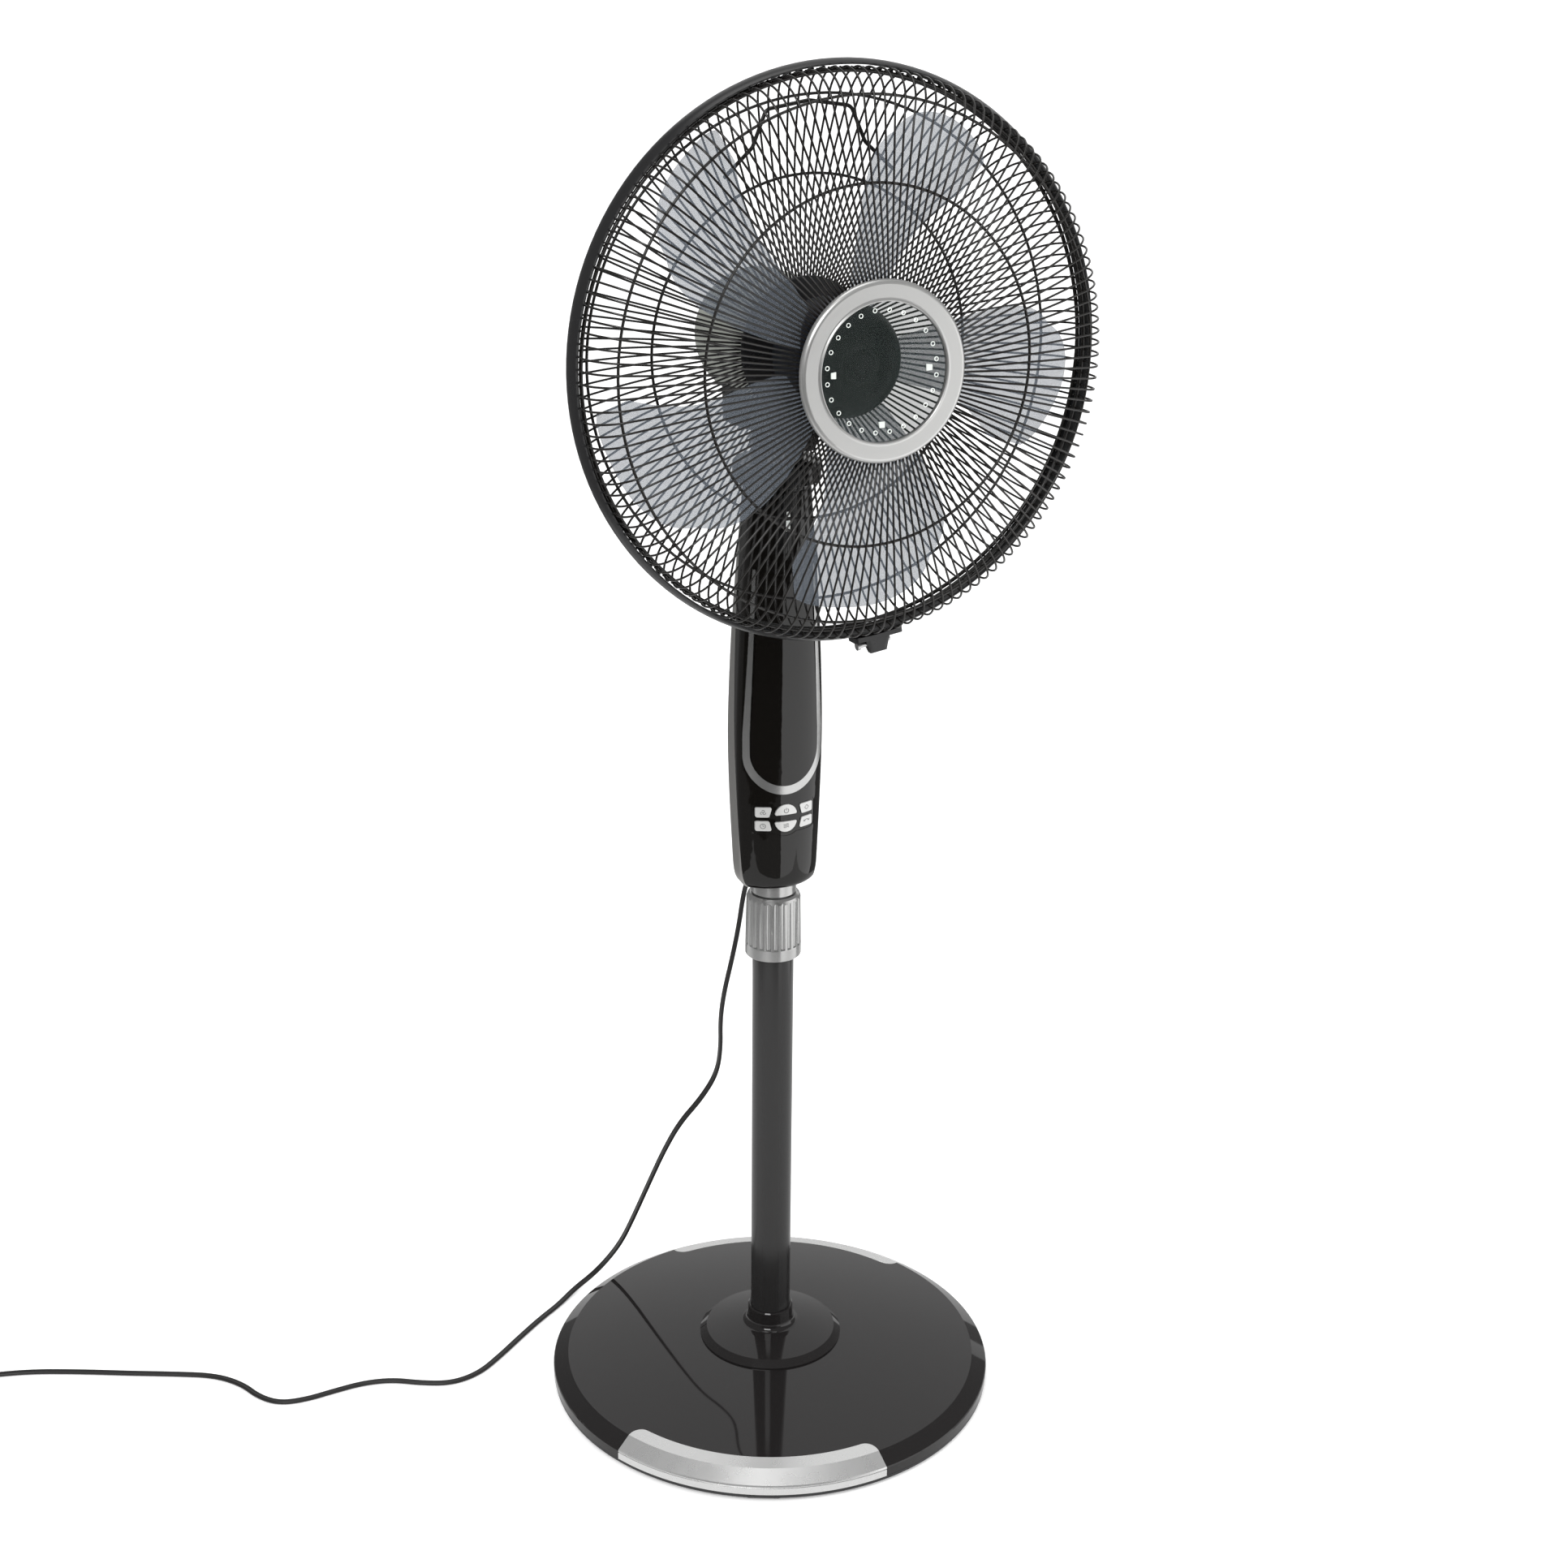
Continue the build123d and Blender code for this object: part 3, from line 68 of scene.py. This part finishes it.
# ------------------------------------------------------------------ materials
def material(name, color, rough, metal=0.0, coat=0.0, grain=0.0, grain_scale=900.0,
             mottle=0.06, mottle_scale=60.0, alpha=1.0, ior=1.5):
    """A moulded or painted surface: colour mottle, roughness wear, fine grain in the bump."""
    mat = bpy.data.materials.new(name)
    mat.use_nodes = True
    nodes, links = mat.node_tree.nodes, mat.node_tree.links
    bsdf = nodes["Principled BSDF"]
    bsdf.inputs["Metallic"].default_value = metal
    bsdf.inputs["Coat Weight"].default_value = coat
    bsdf.inputs["Coat Roughness"].default_value = 0.04
    bsdf.inputs["IOR"].default_value = ior
    bsdf.inputs["Alpha"].default_value = alpha
    where = nodes.new("ShaderNodeTexCoord")
    soft = nodes.new("ShaderNodeTexNoise")
    soft.inputs["Scale"].default_value = mottle_scale
    soft.inputs["Detail"].default_value = 5
    links.new(where.outputs["Object"], soft.inputs["Vector"])
    tone = nodes.new("ShaderNodeMix")
    tone.data_type = "RGBA"
    dark = [c * (1 - mottle) for c in color]
    light = [min(1, c * (1 + mottle)) for c in color]
    tone.inputs["A"].default_value = (*dark, 1)
    tone.inputs["B"].default_value = (*light, 1)
    links.new(soft.outputs["Fac"], tone.inputs["Factor"])
    links.new(tone.outputs["Result"], bsdf.inputs["Base Color"])
    wear = nodes.new("ShaderNodeMapRange")
    wear.inputs["To Min"].default_value = rough * 0.85
    wear.inputs["To Max"].default_value = min(1, rough * 1.2)
    links.new(soft.outputs["Fac"], wear.inputs["Value"])
    links.new(wear.outputs["Result"], bsdf.inputs["Roughness"])
    if grain:
        fine = nodes.new("ShaderNodeTexNoise")
        fine.inputs["Scale"].default_value = grain_scale
        fine.inputs["Detail"].default_value = 2
        links.new(where.outputs["Object"], fine.inputs["Vector"])
        bump = nodes.new("ShaderNodeBump")
        bump.inputs["Strength"].default_value = grain
        bump.inputs["Distance"].default_value = 0.0004
        links.new(fine.outputs["Fac"], bump.inputs["Height"])
        links.new(bump.outputs["Normal"], bsdf.inputs["Normal"])
    return mat


MAT = {
    "base_gloss": material("dark_gloss", (0.012, 0.011, 0.011), 0.045, mottle=0.03),
    "silver": material("silver_lacquer", (0.74, 0.74, 0.735), 0.27, metal=0.78, grain=0.01,
                       grain_scale=900, mottle=0.03),
    "concrete": material("cast_stone", (0.42, 0.41, 0.39), 0.9, grain=0.8, grain_scale=300,
                         mottle=0.25),
    "black_plastic": material("black_textured", (0.018, 0.018, 0.019), 0.42, grain=0.35,
                              grain_scale=1800),
    "rubber": material("foot_rubber", (0.015, 0.015, 0.015), 0.7, grain=0.4),
    "zinc": material("zinc", (0.62, 0.62, 0.62), 0.3, metal=1.0, grain=0.15, grain_scale=1500),
    "pole_paint": material("pole_enamel", (0.016, 0.0155, 0.0155), 0.15, grain=0.03, grain_scale=700),
    "tube_silver": material("plated_tube", (0.72, 0.72, 0.72), 0.12, metal=1.0),
    "column_gloss": material("piano_black", (0.004, 0.0035, 0.003), 0.04, mottle=0.02),
    "column_back": material("silver_back", (0.30, 0.295, 0.285), 0.3, metal=0.75, grain=0.03,
                            grain_scale=1800, mottle=0.03),
    "key": material("key_silver", (0.56, 0.56, 0.55), 0.3, metal=0.4, grain=0.03, grain_scale=1800,
                    mottle=0.03),
    "board": material("circuit_board", (0.02, 0.16, 0.06), 0.35, mottle=0.2),
    "switch": material("switch_body", (0.03, 0.03, 0.03), 0.5, grain=0.2),
    "display": material("light_window", (0.86, 0.89, 0.86), 0.3, mottle=0.03),
    "wire": material("wire_enamel", (0.009, 0.008, 0.007), 0.22, coat=0.2, mottle=0.15,
                     mottle_scale=220),
    "rim": material("rim_moulding", (0.012, 0.012, 0.0125), 0.28, grain=0.12, grain_scale=1600),
    "ring_silver": material("ring_lacquer", (0.56, 0.56, 0.55), 0.30, metal=0.8, grain=0.01,
                            grain_scale=900, mottle=0.02),
    "window": material("tinted_window", (0.020, 0.026, 0.023), 0.06, alpha=0.36, mottle=0.03,
                       ior=1.2),
    "motor_shell": material("motor_moulding", (0.25, 0.26, 0.235), 0.35, grain=0.25,
                            grain_scale=1500),
    "motor_metal": material("cast_alloy", (0.6, 0.6, 0.6), 0.45, metal=1.0, grain=0.4),
    "steel": material("plain_steel", (0.5, 0.5, 0.5), 0.3, metal=1.0, grain=0.2),
    "blade": material("smoky_blade", (0.20, 0.225, 0.26), 0.22, ior=1.3, alpha=0.44, mottle=0.05),
    "hub": material("navy_hub", (0.005, 0.007, 0.012), 0.38, ior=1.35),
    "cord": material("cord_vinyl", (0.013, 0.012, 0.012), 0.38, grain=0.15, grain_scale=1200),
    "brass": material("pin_brass", (0.72, 0.60, 0.34), 0.25, metal=1.0, grain=0.1),
}
INK = material("key_ink", (0.05, 0.05, 0.055), 0.5, mottle=0.1)
HOLE_RIM = material("hole_rim", (0.80, 0.84, 0.80), 0.35, mottle=0.05)
TAB = material("window_tab", (0.72, 0.76, 0.72), 0.4, mottle=0.05, alpha=0.8)

SATIN = material("satin_metal", (0.50, 0.50, 0.495), 0.22, metal=0.88, mottle=0.03)
SATIN_NODES = ("height_collar", "column_socket", "panel_trim")

SLOTS = {entry["node"]: entry["material_slot"] for entry in frame["record"]["subparts"]}
for node, obj in frame["nodes"].items():
    finish = SATIN if node in SATIN_NODES else MAT[SLOTS[node]]
    for index in range(max(1, len(obj.material_slots))):
        if obj.material_slots:
            obj.material_slots[index].link = "OBJECT"
            obj.material_slots[index].material = finish
        else:
            obj.data.materials.append(finish)


# ------------------------------------------------------------------ helpers
def new_mesh(name, verts, faces, finish, body, smooth=True):
    mesh = bpy.data.meshes.new(name)
    mesh.from_pydata([tuple(v) for v in verts], [], faces)
    mesh.validate()
    mesh.update()
    obj = bpy.data.objects.new(name, mesh)
    scene.collection.objects.link(obj)
    mesh.materials.append(finish)
    for poly in mesh.polygons:
        poly.use_smooth = smooth
    if body:
        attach(obj, body)
    return obj


def tube(points, outline, start_side, closed=False):
    """Vertices and faces of an outline carried along points, turned as little as possible."""
    count = len(points)
    side = Vector(start_side)
    verts, faces = [], []
    for i, point in enumerate(points):
        before = points[i - 1] if i or closed else points[0]
        after = points[(i + 1) % count] if i < count - 1 or closed else points[-1]
        along = (after - before).normalized()
        side = (side - along * side.dot(along)).normalized()
        up = along.cross(side)
        verts += [point + side * a + up * b for a, b in outline]
    n = len(outline)
    rows = count if closed else count - 1
    for i in range(rows):
        j = (i + 1) % count
        for k in range(n):
            m = (k + 1) % n
            faces.append((i * n + k, i * n + m, j * n + m, j * n + k))
    if not closed:
        faces.append(tuple(range(n))[::-1])
        faces.append(tuple(range((count - 1) * n, count * n)))
    return verts, faces


def circle(radius, sides=8):
    step = 2 * math.pi / sides
    return [(radius * math.cos(step * k), radius * math.sin(step * k)) for k in range(sides)]


def arc(centre, radius, start, end, steps=12):
    """Points of an arc in a plane, angles in degrees."""
    out = []
    for k in range(steps + 1):
        a = math.radians(start + (end - start) * k / steps)
        out.append((centre[0] + radius * math.cos(a), centre[1] + radius * math.sin(a)))
    return out


# ------------------------------------------------------------------ mains lead
FLOOR = 0.00185
LEAD_WIDTH, LEAD_THICK = 0.0058, 0.0032
LEAD_DIR = Vector((-0.06, 0.60, -0.80)).normalized()
LEAD_EXIT = Vector((-3.0, 21.5, 513.5)) * MM + LEAD_DIR * 0.02912
LEAD = [
    LEAD_EXIT,
    LEAD_EXIT + LEAD_DIR * 0.016,
    (-0.0075, 0.0555, 0.459), (-0.0105, 0.0585, 0.428), (-0.016, 0.0605, 0.396),
    (-0.0222, 0.065, 0.361), (-0.0243, 0.069, 0.332), (-0.0222, 0.0735, 0.301),
    (-0.024, 0.0795, 0.272), (-0.036, 0.0895, 0.243), (-0.053, 0.102, 0.214),
    (-0.0645, 0.116, 0.178), (-0.0745, 0.1305, 0.138), (-0.084, 0.147, 0.096),
    (-0.091, 0.163, 0.062), (-0.099, 0.178, 0.036), (-0.113, 0.187, 0.014),
    (-0.135, 0.182, 0.004), (-0.156, 0.164, FLOOR), (-0.180, 0.146, FLOOR),
    (-0.206, 0.1235, FLOOR), (-0.232, 0.100, FLOOR), (-0.257, 0.080, FLOOR),
    (-0.284, 0.0735, FLOOR), (-0.310, 0.083, FLOOR), (-0.334, 0.097, FLOOR),
    (-0.360, 0.1015, FLOOR), (-0.388, 0.0985, FLOOR), (-0.414, 0.0945, FLOOR),
    (-0.438, 0.097, FLOOR), (-0.454, 0.113, FLOOR), (-0.465, 0.138, FLOOR),
    (-0.486, 0.160, FLOOR), (-0.520, 0.175, FLOOR), (-0.560, 0.191, FLOOR),
    (-0.602, 0.209, FLOOR), (-0.648, 0.226, FLOOR), (-0.696, 0.234, FLOOR),
    (-0.744, 0.229, FLOOR), (-0.784, 0.206, FLOOR), (-0.806, 0.166, FLOOR),
    (-0.810, 0.120, FLOOR), (-0.800, 0.078, FLOOR), (-0.784, 0.046, 0.00225),
]


def smooth_route(points):
    """Points along the NURBS spline that has the route as its control points."""
    curve = bpy.data.curves.new("route", "CURVE")
    curve.dimensions = "3D"
    curve.resolution_u = 8
    spline = curve.splines.new("NURBS")
    spline.points.add(len(points) - 1)
    for place, point in zip(spline.points, points):
        place.co = (*point, 1)
    spline.order_u = 3
    spline.use_endpoint_u = True
    holder = bpy.data.objects.new("route", curve)
    scene.collection.objects.link(holder)
    mesh = bpy.data.meshes.new_from_object(holder)
    path = [v.co.copy() for v in mesh.vertices]
    bpy.data.objects.remove(holder)
    return path


def twin_outline():
    """Two round cores side by side with a shallow valley between them."""
    half, r = LEAD_WIDTH / 2, LEAD_THICK / 2
    right = arc((half - r, 0), r, -125, 125, 10)
    left = [(-a, -b) for a, b in right]
    return right + left


lead_path = smooth_route([Vector(p) for p in LEAD])
verts, faces = tube(lead_path[::-1], twin_outline(), (1, 0, 0))
lead = new_mesh("lead", verts, faces, MAT["cord"], "column")
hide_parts("power_cord")

# ------------------------------------------------------------------ head frame
TILT, YAW = math.radians(3.6), math.radians(4.0)
REACH, PIVOT_Z, HEAD_Z = 116.6, 882.0, 971.0
UP = Vector((0, math.sin(TILT), math.cos(TILT)))
AHEAD = Vector((math.sin(YAW), -math.cos(YAW) * math.cos(TILT), math.cos(YAW) * math.sin(TILT)))
SIDE = UP.cross(AHEAD)
LIFT = (HEAD_Z - PIVOT_Z - REACH * AHEAD.z) / UP.z
CENTRE = Vector((0, 0, PIVOT_Z)) + UP * LIFT + AHEAD * REACH


def head(radius, degrees, ahead):
    """A point from radius and angle (millimetres, degrees) in the head's own frame."""
    a = math.radians(degrees)
    return (CENTRE + SIDE * radius * math.cos(a) + UP * radius * math.sin(a) + AHEAD * ahead) * MM


# ------------------------------------------------------------------ guards
WIRES = 144


def tangent_arc(start, direction, end, steps=12):
    """Arc in the profile plane that leaves start along direction and reaches end."""
    sx, sy = start
    dx, dy = direction
    ex, ey = end[0] - sx, end[1] - sy
    nx, ny = -dy, dx
    r = (ex * ex + ey * ey) / (2 * (ex * nx + ey * ny))
    cx, cy = sx + nx * r, sy + ny * r
    a0 = math.atan2(sy - cy, sx - cx)
    a1 = math.atan2(end[1] - cy, end[0] - cx)
    sweep = a1 - a0
    if r > 0 and sweep < 0:
        sweep += 2 * math.pi
    if r < 0 and sweep > 0:
        sweep -= 2 * math.pi
    pts = []
    for k in range(1, steps + 1):
        a = a0 + sweep * k / steps
        pts.append((cx + abs(r) * math.cos(a), cy + abs(r) * math.sin(a)))
    s = 1 if r > 0 else -1
    last = (-math.sin(a1) * s, math.cos(a1) * s)
    return pts, last


def front_profile():
    inner, shoulder, widest = (61.5, 70.6), (190.2, 42.8), (213.0, 14.0)
    run = Vector((shoulder[0] - inner[0], shoulder[1] - inner[1])).normalized()
    pts = [inner, shoulder]
    bend, after = tangent_arc(shoulder, run, widest, 12)
    tuck, _ = tangent_arc(widest, after, (211.6, 7.2), 5)
    return pts + bend + tuck + [(212.2, 3.2)]


def rear_profile():
    """Bowed from the plate to the shoulder, then round to the rim."""
    (x1, y1), (x2, y2), (x3, y3) = (52.5, -61.5), (133, -52.5), (194, -31.6)
    d = 2 * (x1 * (y2 - y3) + x2 * (y3 - y1) + x3 * (y1 - y2))
    ux = ((x1**2 + y1**2) * (y2 - y3) + (x2**2 + y2**2) * (y3 - y1)
          + (x3**2 + y3**2) * (y1 - y2)) / d
    uy = ((x1**2 + y1**2) * (x3 - x2) + (x2**2 + y2**2) * (x1 - x3)
          + (x3**2 + y3**2) * (x2 - x1)) / d
    r = math.hypot(x1 - ux, y1 - uy)
    a0, a1 = math.atan2(y1 - uy, x1 - ux), math.atan2(y3 - uy, x3 - ux)
    pts = [(ux + r * math.cos(a0 + (a1 - a0) * k / 14), uy + r * math.sin(a0 + (a1 - a0) * k / 14))
           for k in range(15)]
    bend, _ = tangent_arc((x3, y3), (-math.sin(a1), math.cos(a1)), (212.2, -3.2), 10)
    return pts + bend


def cage(name, profile, node):
    """All the radial wires of one guard in one piece."""
    verts, faces = [], []
    for i in range(WIRES):
        turn = 360 / WIRES * i
        points = [head(r, turn, s) for r, s in profile]
        around = (head(1, turn + 90, 0) - head(0, 0, 0)).normalized()
        v, f = tube(points, circle(0.85 * MM, 7), around)
        base = len(verts)
        verts += v
        faces += [tuple(base + q for q in face) for face in f]
    piece = new_mesh(name, verts, faces, MAT["wire"], "head")
    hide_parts(node)
    return piece


cage("front_wires", front_profile(), "front_guard_wires")
cage("rear_wires", rear_profile(), "rear_guard_wires")

# ------------------------------------------------------------------ window details
for k in range(24):
    turn = 7.5 + 15 * k
    ring = [head(45, turn, 0) + (SIDE * a + UP * b + AHEAD * 70.6) * MM
            for a, b in arc((0, 0), 1.5, 0, 360, 16)[:-1]]
    verts, faces = tube(ring, circle(0.35 * MM, 6), AHEAD, closed=True)
    new_mesh(f"hole_rim_{k:02d}", verts, faces, HOLE_RIM, "head")

for k, turn in enumerate((0, 180, 270)):
    verts, faces = [], []
    corner = [(37.0, -2.6, 68.6), (41.5, -2.2, 69.4), (41.5, 2.2, 69.4), (37.0, 2.6, 68.6)]
    for lift in (0.0, 1.2):
        for r, off, s in corner:
            a = math.radians(turn)
            flat = (SIDE * (r * math.cos(a) - off * math.sin(a))
                    + UP * (r * math.sin(a) + off * math.cos(a)))
            verts.append((CENTRE + flat + AHEAD * (s + lift)) * MM)
    faces = [(0, 1, 2, 3), (7, 6, 5, 4), (0, 4, 5, 1), (1, 5, 6, 2), (2, 6, 7, 3), (3, 7, 4, 0)]
    tab = new_mesh(f"window_tab_{k}", verts, faces, TAB, "head", smooth=False)
    bevel = tab.modifiers.new("round", "BEVEL")
    bevel.width = 0.0004
    bevel.segments = 3

# ------------------------------------------------------------------ signs on the keys
KEY_Z = 564.2


def sign(name, node, strokes, width=0.55):
    """Printed line signs that follow the key's face; strokes are lists of (x, z) in mm."""
    key = frame["nodes"][node]
    tree = BVHTree.FromObject(key, bpy.context.evaluated_depsgraph_get())
    verts, faces = [], []

    def on_face(x, z):
        hit = tree.ray_cast(Vector((x * MM, -0.2, z * MM)), Vector((0, 1, 0)))
        y = hit[0].y if hit[0] else -0.029
        return Vector((x * MM, y - 0.00006, z * MM))

    for stroke in strokes:
        dense = []
        for a, b in zip(stroke, stroke[1:]):
            steps = max(1, int(math.dist(a, b) / 0.6))
            dense += [(a[0] + (b[0] - a[0]) * k / steps, a[1] + (b[1] - a[1]) * k / steps)
                      for k in range(steps)]
        dense.append(stroke[-1])
        base = len(verts)
        for i, (x, z) in enumerate(dense):
            x0, z0 = dense[max(0, i - 1)]
            x1, z1 = dense[min(len(dense) - 1, i + 1)]
            length = math.hypot(x1 - x0, z1 - z0) or 1
            nx, nz = -(z1 - z0) / length * width / 2, (x1 - x0) / length * width / 2
            verts += [on_face(x + nx, z + nz), on_face(x - nx, z - nz)]
        for i in range(len(dense) - 1):
            q = base + 2 * i
            faces.append((q, q + 1, q + 3, q + 2))
    obj = new_mesh(name, verts, faces, INK, node)


power_at, mode_at = (0, KEY_Z + 6.8), (0, KEY_Z - 6.8)
speed_at, timer_at = (-19.6, KEY_Z + 6.2), (-19.6, KEY_Z - 6.2)
breeze_at, swing_at = (19.6, KEY_Z + 6.2), (19.6, KEY_Z - 6.2)

sign("sign_power", "key_power",
     [arc(power_at, 2.0, 125, 415, 20),
      [(power_at[0], power_at[1] + 0.2), (power_at[0], power_at[1] + 2.6)]])
sign("sign_mode", "key_mode",
     [[(mode_at[0] + dx, mode_at[1] + dz + 0.5 * math.sin(dx * 1.6)) for dx in
       [-2.4 + 0.4 * k for k in range(13)]] for dz in (-1.3, 0, 1.3)], 0.45)
sign("sign_speed", "key_speed",
     [[speed_at, *arc((speed_at[0] + 1.1 * math.cos(a), speed_at[1] + 1.1 * math.sin(a)), 1.1,
                      math.degrees(a) - 180, math.degrees(a) + 60, 10)]
      for a in (math.radians(90), math.radians(210), math.radians(330))], 0.45)
sign("sign_timer", "key_timer",
     [arc(timer_at, 2.1, 0, 360, 24),
      [(timer_at[0], timer_at[1] + 1.4), timer_at, (timer_at[0] + 1.1, timer_at[1])]], 0.45)
sign("sign_breeze", "key_breeze",
     [[(breeze_at[0], breeze_at[1] + 2.1), (breeze_at[0] + 2.1, breeze_at[1]),
       (breeze_at[0], breeze_at[1] - 2.1), (breeze_at[0] - 2.1, breeze_at[1]),
       (breeze_at[0], breeze_at[1] + 2.1)]], 0.45)
sign("sign_swing", "key_swing",
     [arc((swing_at[0], swing_at[1] - 1.6), 3.0, 35, 145, 14),
      [(swing_at[0] - 3.0, swing_at[1] + 1.3), (swing_at[0] - 2.5, swing_at[1] - 0.1),
       (swing_at[0] - 1.2, swing_at[1] + 0.4)],
      [(swing_at[0] + 3.0, swing_at[1] + 1.3), (swing_at[0] + 2.5, swing_at[1] - 0.1),
       (swing_at[0] + 1.2, swing_at[1] + 0.4)]], 0.45)

# ------------------------------------------------------------------ floor, cards and lights
def sweep_floor():
    """White paper that curves up into the backdrop; gloss sees the cards instead."""
    rows = [(-4.0, 0.0), (3.0, 0.0)]
    rows += [(3.0 + 1.5 * math.sin(math.radians(a)), 1.5 - 1.5 * math.cos(math.radians(a)))
             for a in range(6, 91, 6)]
    rows += [(4.5, 6.0)]
    heading = math.radians(CAMERA_HEADING)
    verts = [(x * math.cos(heading) + y * math.sin(heading),
              -x * math.sin(heading) + y * math.cos(heading), z) for y, z in rows for x in (-7, 7)]
    faces = [(2 * k, 2 * k + 1, 2 * k + 3, 2 * k + 2) for k in range(len(rows) - 1)]
    paper = material("floor_paper", (0.92, 0.92, 0.92), 0.7, mottle=0.005)
    paper.node_tree.nodes["Principled BSDF"].inputs["Emission Color"].default_value = (1, 1, 1, 1)
    paper.node_tree.nodes["Principled BSDF"].inputs["Emission Strength"].default_value = 0.22
    floor = new_mesh("floor", verts, faces, paper, None)
    floor.visible_glossy = False


sweep_floor()


def card(name, at, look_at, width, height, strength, sampled=True):
    """A board that only shows in gloss: dark or dimly lit."""
    mesh = bpy.data.meshes.new(name)
    w, h = width / 2, height / 2
    mesh.from_pydata([(-w, -h, 0), (w, -h, 0), (w, h, 0), (-w, h, 0)], [], [(0, 1, 2, 3)])
    board = bpy.data.objects.new(name, mesh)
    scene.collection.objects.link(board)
    mat = bpy.data.materials.new(name)
    mat.use_nodes = True
    mat.node_tree.nodes.clear()
    out = mat.node_tree.nodes.new("ShaderNodeOutputMaterial")
    glow = mat.node_tree.nodes.new("ShaderNodeEmission")
    glow.inputs["Color"].default_value = (1, 1, 1, 1)
    glow.inputs["Strength"].default_value = strength
    mat.node_tree.links.new(glow.outputs["Emission"], out.inputs["Surface"])
    mat.cycles.emission_sampling = "AUTO" if sampled else "NONE"
    mesh.materials.append(mat)
    aim = (Vector(look_at) - Vector(at)).to_track_quat("Z", "Y")
    board.matrix_world = Matrix.Translation(at) @ aim.to_matrix().to_4x4()
    for kind in ("camera", "diffuse", "shadow", "transmission", "volume_scatter"):
        setattr(board, f"visible_{kind}", False)
    return board


def area(name, at, look_at, size, power):
    light = bpy.data.lights.new(name, "AREA")
    light.shape = "RECTANGLE"
    light.size, light.size_y = size
    light.energy = power
    lamp = bpy.data.objects.new(name, light)
    scene.collection.objects.link(lamp)
    aim = (Vector(at) - Vector(look_at)).to_track_quat("Z", "Y")
    lamp.matrix_world = Matrix.Translation(at) @ aim.to_matrix().to_4x4()
    return lamp


card("floor_card", (0, 0, 0.0003), (0, 0, 1), 1.7, 1.7, 0.8, sampled=False)
card("top_card", (0, -0.1, 3.1), (0, 0, 0), 1.3, 1.3, 2.2)
card("dark_card", (-1.35, -2.65, 0.8), (0, 0, 0.7), 4.6, 3.2, 0.02)
card("low_card", (2.45, -2.06, -1.35), (0, 0, -1.35), 5.2, 3.3, 1.4, sampled=False)
card("side_card", (2.636, -1.644, 0.9), (0.012, -0.19, 0.9), 3.43, 1.2, 1.4)
card("back_card", (1.6, 2.6, 2.4), (0, 0, 0.0), 4.4, 4.8, 0.75)
area("key_light", (-1.6, -2.2, 2.9), (0, 0, 0.7), (1.6, 1.6), 60)
area("fill_light", (2.6, -1.4, 2.0), (0, 0, 0.7), (1.6, 2.4), 30).visible_glossy = False

world = bpy.data.worlds.new("studio")
scene.world = world
world.use_nodes = True
room = world.node_tree
sky = room.nodes["Background"]
sky.inputs["Color"].default_value = (1, 1, 1, 1)
sky.inputs["Strength"].default_value = 1.0
gloss_room = room.nodes.new("ShaderNodeBackground")
gloss_room.inputs["Color"].default_value = (1, 1, 1, 1)
gloss_room.inputs["Strength"].default_value = 0.20
rays = room.nodes.new("ShaderNodeLightPath")
choose = room.nodes.new("ShaderNodeMixShader")
room.links.new(rays.outputs["Is Glossy Ray"], choose.inputs["Fac"])
room.links.new(sky.outputs["Background"], choose.inputs[1])
room.links.new(gloss_room.outputs["Background"], choose.inputs[2])
room.links.new(choose.outputs["Shader"], room.nodes["World Output"].inputs["Surface"])
